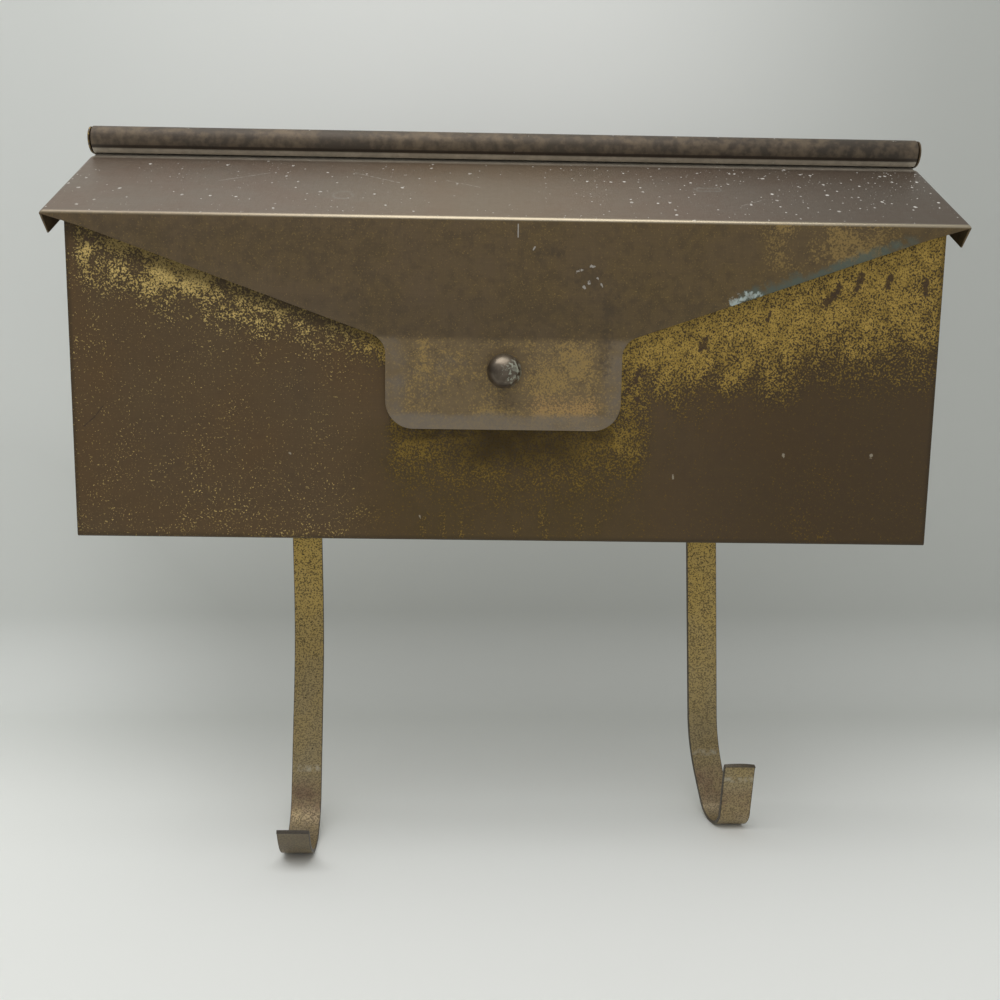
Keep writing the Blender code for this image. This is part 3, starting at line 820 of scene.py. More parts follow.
    def flap_tone(self, canvas: Canvas, cloud: Wire, fine: Wire, brush: Wire) -> tuple[Wire, Wire, Wire]:
        """Colour of the flap and its tongue.

        Args:
            canvas: The material.
            cloud: Cloudy tone.
            fine: Finer cloudy tone.
            brush: Brushed lines.

        Returns:
            The colour, the mask of bare speckle, and the mask of the green crust.
        """
        x, z = canvas.x, canvas.z
        on_tongue = z.ramp(SHOULDER_Z + 0.0025, SHOULDER_Z - 0.0015)
        grain, corner = self.speckle(canvas, cloud, on_tongue)
        mottle = (fine * 0.6 + cloud * 0.6).ramp(0.45, 0.95) * 0.20
        between = z.ramp(BEND_Z + 0.0016, BEND_Z - 0.0010) * on_tongue.rsub(1.0)
        side = x.near(TONGUE_X, TONGUE_HALF - 0.0130, TONGUE_HALF - 0.0030)
        rim = z.ramp(TONGUE_BOTTOM_Z + 0.0100, TONGUE_BOTTOM_Z + 0.0045).most(side * 0.65)
        rim = (rim * 1.2 + (fine - 0.5) * 0.4 + (cloud - 0.5) * 0.8 - 0.2).clamp() * on_tongue
        above = (z - x * self.right_line[0] - self.right_line[1]) * self.right_lean
        near = above.ramp(0.0095, 0.0010) * x.span((0.098, 0.112), (0.200, 0.160))
        crust = (near * 1.6 + cloud * 0.9 + fine * 1.1 - 1.50).clamp() * near.ramp(0.0, 0.3)
        bright = canvas.marks([self.bright_crust]) * (fine * 0.7 + 0.45)
        flap = canvas.layers(
            self.flap,
            (cloud * 0.6 + x.ramp(-0.10, 0.10) * 0.4, self.flap_olive),
            (on_tongue * 0.60, self.tongue),
            (brush * 0.10 + (fine - 0.4).clamp() * 0.20 + mottle, self.dark),
            (between * 0.13, self.dark),
            (grain * (on_tongue * 0.30 + 0.40 + corner * 0.2), self.gold),
            (canvas.marks([self.warm_patch]) * (grain * 0.55 + 0.08), self.orange),
            (rim * 0.75, self.grey),
            (canvas.marks(self.smudges_and_knob_shadow) * 0.34, self.dark),
            (canvas.marks(self.flap_scratches) * 0.5, self.droplet),
            (crust * 0.85, self.green),
            (bright.clamp() * 0.9, self.green_pale),
        )
        return flap, grain, crust.most(bright).clamp()

    def make(self, shelf: EffectShelf) -> bpy.types.Material:
        """Lay out the finish.

        Args:
            shelf: The shared effects.

        Returns:
            The material.
        """
        canvas = Canvas("lid_patina", shelf)
        x, y, z = canvas.x, canvas.y, canvas.z
        cloud, broad, fine = canvas.clouds(0.026), canvas.clouds(0.120, 0.35), canvas.clouds(0.0048)
        brush = canvas.use(Effect.BRUSH, Width=0.0006, Length=0.016)
        on_roof = z.ramp(FOLD_Z - 0.0002, FOLD_Z + 0.0006)
        on_flap = on_roof.rsub(1.0)
        on_roll = z.ramp(self.roof_rear_z, self.roof_rear_z + 0.0008)
        roof, ring = self.roof_tone(canvas, cloud, broad, brush)
        flap, grain, crust = self.flap_tone(canvas, cloud, fine, brush)
        drops = self.droplets(canvas, on_roll) * on_roof
        drops = drops * x.size().ramp(self.flange_x + 0.0006, self.flange_x)
        rubbed = (cloud * 0.6 + fine * 0.7 - 0.45).clamp()
        # Painted highlight: the crease where the roof meets the roll, lightened to a pale, matt tone.
        crease_highlight = z.span((0.0868, 0.0888), (0.0928, 0.0915)) * y.ramp(-0.004, -0.008)
        # Painted shadow: a dark line across the roll's lower front, under its edge.
        roll_edge_shadow = z.near(self.roll_edge_shadow_z, 0.0009, 0.0004) * y.ramp(-0.0115, -0.0125) * on_roll
        # Worn bright metal along the front fold, with a painted highlight that dims towards the left.
        fold = z.near(FOLD_Z, 0.0012, 0.0003) * y.ramp(FOLD_Y + 0.004, FOLD_Y + 0.002)
        fold = fold * (x.ramp(-0.17, -0.03) * 0.6 + 0.4)
        colour = canvas.layers(
            flap,
            (on_roof, roof),
            (on_roll * 0.75, self.roll),
            (on_roll * rubbed * 0.6, self.rub),
            (crease_highlight * (fine * 0.2 + 0.65), self.crease_light),
            (roll_edge_shadow * 0.9, self.dark),
            (drops * (fine * 0.55 + x.ramp(-0.05, 0.15) * 0.20 + 0.25), self.droplet),
            (fold * 0.65, self.fold_wear_highlight),
        )
        bare = grain * on_flap
        crusts = drops.most(crust * on_flap * 0.7).most(ring * on_roof * 0.5)
        rough = canvas.blend(crusts, canvas.blend(bare, 0.41, 0.45) + fine * 0.05 + on_roll * 0.12, 0.75)
        rough = canvas.blend(fold, rough, 0.30)
        metal = canvas.blend(crusts.most(crease_highlight), canvas.blend(bare, 0.45, 0.68), 0.05)
        metal = canvas.blend(fold, metal, 0.80)
        return canvas.finish(colour, rough, metal, canvas.relief(0.0011, 0.022) + drops * 0.8, self.depth)


@dataclass(frozen=True)
class StrapFinish:
    """Hook strap: speckled yellow brass that turns grey and brown towards the curl."""

    name: str
    top: float
    low: float
    brown: Colour
    gold: Colour = tone(180, 152, 78)
    grey: Colour = tone(158, 142, 106)
    red: Colour = tone(120, 84, 66)
    pit: Colour = tone(50, 39, 22)
    edge: Colour = tone(62, 56, 50)
    tip: Colour = tone(104, 100, 88)
    pale: Colour = tone(196, 190, 172)
    depth: float = 0.00010

    def make(self, shelf: EffectShelf) -> bpy.types.Material:
        """Lay out the finish.

        Args:
            shelf: The shared effects.

        Returns:
            The material.
        """
        canvas = Canvas(self.name, shelf)
        z = canvas.z
        cloud, fine = canvas.clouds(0.014), canvas.clouds(0.003)
        fade = z.ramp(self.top, self.low + 0.020)
        pits = canvas.use(Effect.GRAIN, Size=0.00082, Cover=canvas.blend(fade, 0.40, 0.46), Soft=0.13)
        dots = canvas.use(Effect.FLECKS, canvas.flat(X=canvas.x, Y=z), Cell=0.0018,
                          Share=fade.rsub(1.0) * 0.5, Size=0.33, Jag=canvas.jag)
        curl = z.ramp(self.low + 0.038, self.low + 0.004)
        blush = z.near(self.low + 0.016, 0.012, 0.003) * (cloud * 0.6 + fine * 0.4)
        band = z.near(self.low + 0.031, 0.0024, 0.0004) * (fine * 1.6 - 0.5).clamp()
        attribute = canvas.tree.nodes.new("ShaderNodeAttribute")
        attribute.attribute_name = "strap_edge"
        rim = (Wire(canvas.tree, attribute.outputs["Fac"]) + fine * 0.3 - 0.15).ramp(0.35, 0.75)
        colour = canvas.layers(
            self.gold,
            (fade * 0.8 + cloud * 0.2, self.grey),
            (curl * (cloud * 0.5 + 0.35), self.brown),
            (blush * 0.6, self.red),
            (pits * canvas.blend(fade, 0.80, 0.50), self.pit),
            (dots * 0.85, self.pit),
            (band * 0.5, self.pale),
            (canvas.y.ramp(-0.070, -0.077) * 0.6, self.tip),
            (rim * 0.85, self.edge),
        )
        spots = pits.most(dots)
        rough = canvas.blend(spots, 0.42, 0.58)
        metal = canvas.blend(spots.most(rim), 0.66, 0.35)
        return canvas.finish(colour, rough, metal, canvas.relief(0.0009, 0.012), self.depth)


@dataclass(frozen=True)
class PlainFinish:
    """Brown patina without placed marks, for the pieces at the sides, the back and the inside."""

    name: str
    brown: Colour = tone(92, 76, 58)
    second: Colour = tone(70, 56, 42)
    gold: Colour = tone(150, 126, 72)
    cover: float = 0.22
    grain_size: float = 0.0014
    rough: float = 0.43
    metal: float = 0.5
    depth: float = 0.00012

    def make(self, shelf: EffectShelf) -> bpy.types.Material:
        """Lay out the finish.

        Args:
            shelf: The shared effects.

        Returns:
            The material.
        """
        canvas = Canvas(self.name, shelf)
        cloud, fine = canvas.clouds(0.040), canvas.clouds(0.005)
        brush = canvas.use(Effect.BRUSH, Width=0.0008, Length=0.016)
        cover = canvas.blend(cloud, self.cover * 0.5, self.cover * 1.5)
        grain = canvas.use(Effect.GRAIN, Size=self.grain_size, Cover=cover, Soft=0.14)
        colour = canvas.layers(
            self.brown,
            (cloud * 0.7 + fine * 0.2, self.second),
            (brush * 0.2, self.second),
            (grain * 0.8, self.gold),
        )
        rough = canvas.blend(fine, self.rough, self.rough + 0.08)
        metal = canvas.blend(grain, self.metal, 0.75)
        return canvas.finish(colour, rough, metal, canvas.relief(self.grain_size, 0.020), self.depth)


@dataclass(frozen=True)
class KnobFinish:
    """Ball knob: dark brown brass with a painted sheen on its upper front, and a pale green patch."""

    brown: Colour = tone(112, 101, 88)
    dark: Colour = tone(76, 67, 57)
    rub: Colour = tone(170, 156, 136)
    green: Colour = tone(166, 168, 150)
    centre: Point3 = (TONGUE_X, -0.0862, KNOB_Z)
    patch_offset: Point3 = (0.0045, -0.0050, 0.0012)
    patch_run: Point3 = (0.0010, 0.0010, -0.0030)
    patch_width: float = 0.0068
    depth: float = 0.00006

    def make(self, shelf: EffectShelf) -> bpy.types.Material:
        """Lay out the finish.

        Args:
            shelf: The shared effects.

        Returns:
            The material.
        """
        canvas = Canvas("knob_patina", shelf)
        cloud, fine = canvas.clouds(0.006), canvas.clouds(0.0016, 0.35)
        start = Vector(self.centre) + Vector(self.patch_offset)
        patch = canvas.use(Effect.STROKE, Start=tuple(start), End=tuple(start + Vector(self.patch_run)),
                           Width=self.patch_width, Ragged=1.3, Soft=0.8, Jag=canvas.jag)
        patch = (patch * (fine * 0.9 + 0.35)).clamp()
        front_y, middle_z = self.centre[1], self.centre[2]
        # Painted sheen: the knob's upper front lightened.
        top = (canvas.z - middle_z).ramp(0.0, 0.007) * canvas.y.ramp(front_y + 0.001, front_y - 0.006)
        colour = canvas.layers(
            self.brown, (cloud, self.dark), (top * 0.4, self.rub), (patch * 0.85, self.green))
        rough = canvas.blend(patch, canvas.blend(cloud, 0.27, 0.36), 0.75)
        metal = canvas.blend(patch, 0.75, 0.1)
        return canvas.finish(colour, rough, metal, canvas.relief(0.0012, 0.006), self.depth)


class Bench:
    """One new piece while it is shaped, with its parts picked by their place."""

    def __init__(self, name: str) -> None:
        """Take the primitive that was just added.

        Args:
            name: The piece's name.
        """
        self.obj = bpy.context.active_object
        self.obj.name = name
        self.obj.data.name = name

    @classmethod
    def plane(cls, name: str, size: Point2, place: Sequence[float], tilt: float = 0.0) -> "Bench":
        """Start a piece as a plain rectangle.

        Args:
            name: The piece's name.
            size: Its width along X and its depth.
            place: Its middle.
            tilt: How far it is turned about X.

        Returns:
            The piece.
        """
        cls.clear()
        bpy.ops.mesh.primitive_plane_add(size=1, location=place, rotation=(tilt, 0, 0))
        bench = cls(name)
        bench.obj.scale = (*size, 1)
        bpy.ops.object.transform_apply(location=True, rotation=True, scale=True)
        return bench

    @staticmethod
    def clear() -> None:
        """Deselect everything."""
        if bpy.context.object and bpy.context.object.mode != "OBJECT":
            bpy.ops.object.mode_set(mode="OBJECT")
        bpy.ops.object.select_all(action="DESELECT")

    def edit(self, mode: str) -> None:
        """Go into edit mode with nothing selected.

        Args:
            mode: VERT, EDGE or FACE.
        """
        bpy.ops.object.mode_set(mode="EDIT")
        bpy.ops.mesh.select_mode(type=mode)
        bpy.ops.mesh.select_all(action="DESELECT")

    def pick(self, mode: str, test: Callable[[Vector], bool]) -> None:
        """Select the parts whose every corner passes a test.

        Args:
            mode: VERT, EDGE or FACE.
            test: Says whether a corner's place is wanted.
        """
        bpy.ops.mesh.select_mode(type=mode)
        bpy.ops.mesh.select_all(action="DESELECT")
        shape = bmesh.from_edit_mesh(self.obj.data)
        for part in {"VERT": shape.verts, "EDGE": shape.edges, "FACE": shape.faces}[mode]:
            corners = [part] if mode == "VERT" else part.verts
            if all(test(corner.co) for corner in corners):
                part.select_set(True)
        shape.select_flush_mode()
        bmesh.update_edit_mesh(self.obj.data)

    def pick_joints(self, test: Callable[[bmesh.types.BMEdge], bool]) -> None:
        """Select the edges between two faces that pass a test.

        Args:
            test: Says whether such an edge is wanted.
        """
        bpy.ops.mesh.select_mode(type="EDGE")
        bpy.ops.mesh.select_all(action="DESELECT")
        shape = bmesh.from_edit_mesh(self.obj.data)
        for edge in shape.edges:
            if len(edge.link_faces) == 2 and test(edge):
                edge.select_set(True)
        bmesh.update_edit_mesh(self.obj.data)

    def cut(self, place: Sequence[float], normal: Point3, **settings: bool) -> None:
        """Cut the whole piece with a plane.

        Args:
            place: A point on the plane.
            normal: Its normal.
            settings: What is done with the cut.
        """
        bpy.ops.mesh.select_all(action="SELECT")
        bpy.ops.mesh.bisect(plane_co=place, plane_no=normal, **settings)

    def move(self, shift: Sequence[float]) -> None:
        """Move what is selected."""
        bpy.ops.transform.translate(value=tuple(shift))

    def extrude(self, shift: Sequence[float]) -> None:
        """Extrude what is selected, faces or edges, by a shift."""
        bpy.ops.mesh.extrude_region_move(TRANSFORM_OT_translate={"value": tuple(shift)})

    def spin(self, steps: int, angle: float, centre: Sequence[float], axis: Point3) -> None:
        """Sweep what is selected round an axis, by the right-hand rule.

        Args:
            steps: Pieces that the sweep is made of.
            angle: How far round.
            centre: A point on the axis.
            axis: The axis.
        """
        bpy.ops.mesh.spin(steps=steps, angle=-angle, center=tuple(centre), axis=axis, use_auto_merge=False)

    def weld(self) -> None:
        """Join points that coincide and turn every face outward."""
        bpy.ops.mesh.select_all(action="SELECT")
        bpy.ops.mesh.remove_doubles(threshold=1e-6)
        bpy.ops.mesh.normals_make_consistent(inside=False)

    def object_mode(self) -> None:
        """Leave edit mode."""
        bpy.ops.object.mode_set(mode="OBJECT")

    def apply(self, kind: str, **settings: object) -> None:
        """Add a modifier with its settings and apply it.

        Args:
            kind: The modifier's type.
            settings: Its settings by name.
        """
        modifier = self.obj.modifiers.new(kind.title(), kind)
        for name, value in settings.items():
            setattr(modifier, name, value)
        bpy.context.view_layer.objects.active = self.obj
        bpy.ops.object.modifier_apply(modifier=modifier.name)

    def ease(self, width: float, segments: int, angle: float) -> None:
        """Break the edges that are sharper than an angle, in degrees."""
        self.apply("BEVEL", width=width, segments=segments, limit_method="ANGLE",
                   angle_limit=math.radians(angle))

    def drill(self, centre: Point3, radius: float, depth: float) -> None:
        """Cut a round hole along Y.

        Args:
            centre: Middle of the hole.
            radius: Its radius.
            depth: Length of the tool.
        """
        self.clear()
        bpy.ops.mesh.primitive_cylinder_add(
            vertices=24, radius=radius, depth=depth, location=centre, rotation=(math.pi / 2, 0, 0))
        tool = bpy.context.active_object
        self.clear()
        self.obj.select_set(True)
        self.apply("BOOLEAN", operation="DIFFERENCE", solver="EXACT", object=tool)
        bpy.data.objects.remove(tool, do_unlink=True)

    def smooth(self, angle: float) -> None:
        """Shade the piece smooth up to an angle.

        Args:
            angle: The sharpest smooth edge, in degrees.
        """
        self.clear()
        self.obj.select_set(True)
        bpy.context.view_layer.objects.active = self.obj
        bpy.ops.object.shade_smooth_by_angle(angle=math.radians(angle))

    def done(self, body: str, slot: str, material: bpy.types.Material, *nodes: str) -> bpy.types.Object:
        """Put the finished piece in its body and finish.

        Args:
            body: The body that it rides on.
            slot: The record's slot that its finish comes from; not used.
            material: Its finish.
            nodes: The nodes that it stands for.

        Returns:
            The piece.
        """
        self.obj.data.materials.clear()
        self.obj.data.materials.append(material)
        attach(self.obj, body)
        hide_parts(*nodes)
        LOG.info("%s: %d faces, on %s", self.obj.name, len(self.obj.data.polygons), body)
        return self.obj


@dataclass(frozen=True)
class Wave:
    """Slow unevenness of a sheet: a long wave along X, and a shorter one that runs askew."""

    long: float
    long_shift: float
    short_share: float
    short: float
    askew: float
    short_shift: float
    strength: float

    def height(self, x: float, along: float) -> float:
        """Its height, before its strength is counted."""
        askew = math.sin(x * self.short + along * self.askew + self.short_shift)
        return math.sin(x * self.long + self.long_shift) + self.short_share * askew


@dataclass
class Lid:
    """The hinged lid: roof, tongued flap, side flanges and hinge roll, folded from one sheet."""

    sheet: float = 0.0008
    width: float = 0.4246
    roll_y: float = -0.0080
    roll_z: float = 0.0968
    roll_radius: float = 0.0065
    roll_lap: float = math.radians(74)
    roll_steps: int = 40
    roll_half_width: float = 0.2105
    notch: float = 0.0065
    flange: float = 0.0115
    flange_setback: float = 0.0030
    tongue_width: float = 0.1101
    shoulder_drop: float = 0.0550
    shoulder_radius: float = 0.0090
    tongue_length: float = 0.0413
    corner_radius: float = 0.0130
    bend_drop: float = 0.0355
    bend_in: float = 0.0007
    fold_radius: float = 0.0010
    hole_radius: float = 0.0021
    broken_edge: float = 0.00016
    unevenness: float = 0.00022
    flap_wave: Wave = Wave(
        long=21, long_shift=0.7, short_share=0.6, short=47, askew=60, short_shift=2.1, strength=0.6)
    roof_wave: Wave = Wave(
        long=17, long_shift=1.9, short_share=0.7, short=39, askew=-70, short_shift=0.0, strength=0.7)
    stiff_drop: float = 0.02
    roof_span: Point2 = (0.004, -0.020)
    roof_margin: float = 0.002
    roll_margin: float = 0.0045
    fold_angle: float = 40
    smooth_angle: float = 32
    flap_cuts: tuple[float, ...] = (0.036, BEND_Z, 0.008, SHOULDER_Z, -0.016, -0.030)
    roof_cuts: tuple[float, ...] = (-0.066, -0.054, -0.042, -0.030)
    cut_spacing: float = 0.0175
    cut_count: int = 11
    half: float = field(init=False)
    slope: float = field(init=False)
    length: float = field(init=False)

    def __post_init__(self) -> None:
        """Work out the roof, which runs from the fold to the underside of the roll."""
        rise, run = self.roll_z - FOLD_Z, self.roll_y - FOLD_Y
        self.half = self.width / 2 - self.sheet / 2
        self.slope = math.atan2(rise, run) - math.asin(self.roll_radius / math.hypot(rise, run))
        self.length = math.sqrt(rise ** 2 + run ** 2 - self.roll_radius ** 2) - self.notch

    def along(self) -> Vector:
        """Direction up the roof."""
        return Vector((0, math.cos(self.slope), math.sin(self.slope)))

    def build_roof(self) -> Bench:
        """Lay the roof and roll its rear edge round the hinge.

        Returns:
            The piece so far.
        """
        along = self.along()
        fold = Vector((0, FOLD_Y, FOLD_Z))
        size = (self.half * 2, self.length)
        bench = Bench.plane("lid_sheet", size, fold + along * (self.length / 2), self.slope)
        bench.edit("EDGE")
        for x in (-self.roll_half_width, self.roll_half_width):
            bench.cut((x, 0, 0), ALONG_X)
        rear = (fold + along * self.length).y - CLOSE
        bench.pick("EDGE", lambda at: at.y > rear and abs(at.x) < self.roll_half_width + CLOSE)
        bench.extrude(along * self.notch)
        sweep = math.pi * 1.5 + self.roll_lap - self.slope
        bench.spin(self.roll_steps, sweep, (0, self.roll_y, self.roll_z), ALONG_X)
        return bench

    def build_flanges(self, bench: Bench) -> None:
        """Fold a flange down from each side of the roof.

        Args:
            bench: The piece.
        """
        down = Vector((0, math.sin(self.slope), -math.cos(self.slope))) * self.flange
        front = FOLD_Y + down.y + NEAR
        low = FOLD_Z - 0.005
        for side in (-1, 1):
            bench.pick("EDGE", lambda at: at.x * side > self.half - CLOSE)
            bench.extrude(down)
            bench.pick("VERT", lambda at: at.x * side > self.half - CLOSE and at.y < front and at.z < low)
            bench.move(self.along() * self.flange_setback)

    def build_flap(self, bench: Bench) -> None:
        """Fold the flap down, narrow it to the tongue and round its corners.

        Args:
            bench: The piece.
        """
        tongue_half = self.tongue_width / 2
        shoulder_z = FOLD_Z - self.shoulder_drop
        bottom_z = shoulder_z - self.tongue_length
        bench.pick("EDGE", lambda at: abs(at.y - FOLD_Y) < CLOSE and abs(at.z - FOLD_Z) < CLOSE)
        bench.extrude((0, 0, -self.shoulder_drop))
        bpy.ops.transform.resize(
            value=(tongue_half / self.half, 1, 1), center_override=(0, FOLD_Y, shoulder_z))
        bench.move((TONGUE_X, 0, 0))
        bench.extrude((0, 0, -self.tongue_length))
        bench.pick("EDGE", lambda at: abs(at.z - shoulder_z) < CLOSE)
        bpy.ops.mesh.dissolve_edges(use_verts=False)
        bench.pick_joints(lambda edge: abs(edge.verts[0].co.z - edge.verts[1].co.z) > NEAR and all(
            abs(vert.co.y - FOLD_Y) < CLOSE for vert in edge.verts))
        bpy.ops.mesh.dissolve_edges(use_verts=True)
        lean = math.atan2(self.shoulder_drop, self.half - tongue_half)
        reach = self.shoulder_radius / math.tan((math.pi / 2 + lean) / 2)
        for height, offset, segments in ((shoulder_z, reach, 10), (bottom_z, self.corner_radius, 14)):
            bench.pick("VERT", lambda at: (
                abs(at.z - height) < CLOSE and abs(at.x - TONGUE_X) > tongue_half - NEAR))
            bpy.ops.mesh.bevel(affect="VERTICES", offset=offset, segments=segments)

    def relax(self, bench: Bench) -> None:
        """Cut the large faces finer and let the old sheet lie a little uneven.

        Args:
            bench: The piece.
        """
        bend_z, shoulder_z = FOLD_Z - self.bend_drop, FOLD_Z - self.shoulder_drop
        roof_top = self.roll_z - self.roll_radius - self.roll_margin
        roof_front, roof_rear = FOLD_Y + self.roof_span[0], self.roof_span[1]
        cuts = [((0, 0, height), ALONG_Z) for height in self.flap_cuts]
        cuts += [((0, y, 0), ALONG_Y) for y in self.roof_cuts]
        steps = range(-self.cut_count, self.cut_count + 1)
        cuts += [((self.cut_spacing * step, 0, 0), ALONG_X) for step in steps]
        for place, normal in cuts:
            bench.pick("FACE", lambda at: at.z < roof_top)
            bpy.ops.mesh.bisect(plane_co=place, plane_no=normal)
        bench.object_mode()
        for vert in bench.obj.data.vertices:
            x, y, z = vert.co
            if abs(y - FOLD_Y) < CLOSE and z < FOLD_Z - NEAR:
                if z < bend_z - CLOSE:
                    vert.co.y += self.bend_in * min(1.0, (bend_z - z) / (bend_z - shoulder_z))
                free = min(1.0, (FOLD_Z - z) / self.stiff_drop)
                wave = self.flap_wave
                vert.co.y += self.unevenness * free * wave.height(x, z) * wave.strength
            elif roof_front < y < roof_rear and abs(x) < self.width / 2 - self.roof_margin:
                wave = self.roof_wave
                vert.co.z += self.unevenness * wave.height(x, y) * wave.strength

    def on_fold(self, edge: bmesh.types.BMEdge) -> bool:
        """Say whether an edge is one of the lid's folds.

        Args:
            edge: The edge, between two faces.

        Returns:
            Whether it is.
        """
        places = [vert.co for vert in edge.verts]
        front = all(abs(at.y - FOLD_Y) < NEAR and abs(at.z - FOLD_Z) < NEAR for at in places)
        side = all(abs(abs(at.x) - self.half) < NEAR for at in places)
        return (front or side) and edge.calc_face_angle(0) > math.radians(self.fold_angle)

    def thicken(self, bench: Bench) -> None:
        """Round the folds, give the sheet its thickness and break its edges.

        Args:
            bench: The piece.
        """
        bench.edit("EDGE")
        bench.pick_joints(self.on_fold)
        bpy.ops.mesh.bevel(offset=self.fold_radius, segments=5)
        bench.weld()
        bench.object_mode()
        bench.apply("SOLIDIFY", thickness=self.sheet, offset=0, use_even_offset=True)
        bench.ease(self.broken_edge, segments=2, angle=50)

    def build(self, material: bpy.types.Material) -> bpy.types.Object:
        """Make the whole lid.

        Args:
            material: Its finish.

        Returns:
            The piece.
        """
        bench = self.build_roof()
        self.build_flanges(bench)
        self.build_flap(bench)
        self.relax(bench)
        self.thicken(bench)
        bench.drill((TONGUE_X, FOLD_Y, KNOB_Z), self.hole_radius, depth=0.008)
        bench.smooth(self.smooth_angle)
        return bench.done("lid", "lid_brass", material, "lid")


@dataclass
class Knob:
    """Turned ball knob with its neck, its stem through the tongue and its peened end."""

    radius: float = 0.00795
    neck_radius: float = 0.0034
    neck: float = 0.0009
    stem_radius: float = 0.0018
    head_radius: float = 0.0027
    head: float = 0.0007
    rim_share: float = 0.7
    crown_share: float = 0.62
    broken_edge: float = 0.00015
    segments: int = 56
    rings: int = 36
    smooth_angle: float = 40

    def build(self, material: bpy.types.Material) -> bpy.types.Object:
        """Make the knob.

        Args:
            material: Its finish.

        Returns:
            The piece.
        """
        low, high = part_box("knob")
        centre_y = low.y + self.radius
        cap_y = centre_y + math.sqrt(self.radius ** 2 - self.neck_radius ** 2)
        Bench.clear()
        bpy.ops.mesh.primitive_uv_sphere_add(
            segments=self.segments, ring_count=self.rings, radius=self.radius,
            location=(TONGUE_X, centre_y, KNOB_Z), rotation=(math.pi / 2, 0, 0))
        bench = Bench("ball_knob")
        bpy.ops.object.transform_apply(location=True, rotation=True, scale=True)
        bench.edit("FACE")
        bench.cut((0, cap_y, 0), ALONG_Y, clear_outer=True, use_fill=True)
        bench.pick("FACE", lambda at: at.y > cap_y - CLOSE)
        bench.extrude((0, self.neck, 0))
        self.step(bench, self.stem_radius / self.neck_radius, high.y - self.head - cap_y - self.neck)
        self.step(bench, self.head_radius / self.stem_radius, self.head * self.rim_share)
        bench.extrude((0, self.head * (1 - self.rim_share), 0))
        self.narrow(self.crown_share)
        bench.object_mode()
        bench.ease(self.broken_edge, segments=2, angle=self.smooth_angle)
        bench.smooth(self.smooth_angle)
        return bench.done("lid", "knob_brass", material, "knob")

    def step(self, bench: Bench, share: float, length: float) -> None:
        """Step the selected end face to another radius and extrude it along Y.

        Args:
            bench: The piece.
            share: New radius over the old one.
            length: How far to extrude.
        """
        bench.extrude((0, 0, 0))
        self.narrow(share)
        bench.extrude((0, length, 0))

    @staticmethod
    def narrow(share: float) -> None:
        """Scale the selected end face about the knob's axis."""
        bpy.ops.transform.resize(value=(share, 1, share), center_override=(TONGUE_X, 0, KNOB_Z))


@dataclass
class Tip:
    """The strap's free end while the strap is bent."""

    x: float
    y: float
    z: float
    heading: float = 0.0

    def onward(self) -> Vector:
        """Direction in which the strap goes on."""
        return Vector((0, -math.sin(self.heading), -math.cos(self.heading)))

    def offset(self, at: Vector) -> tuple[float, float]:
        """How far a point lies past the end face, and from the middle of it."""
        away = at - Vector((self.x, self.y, self.z))
        return away.dot(self.onward()), away.length


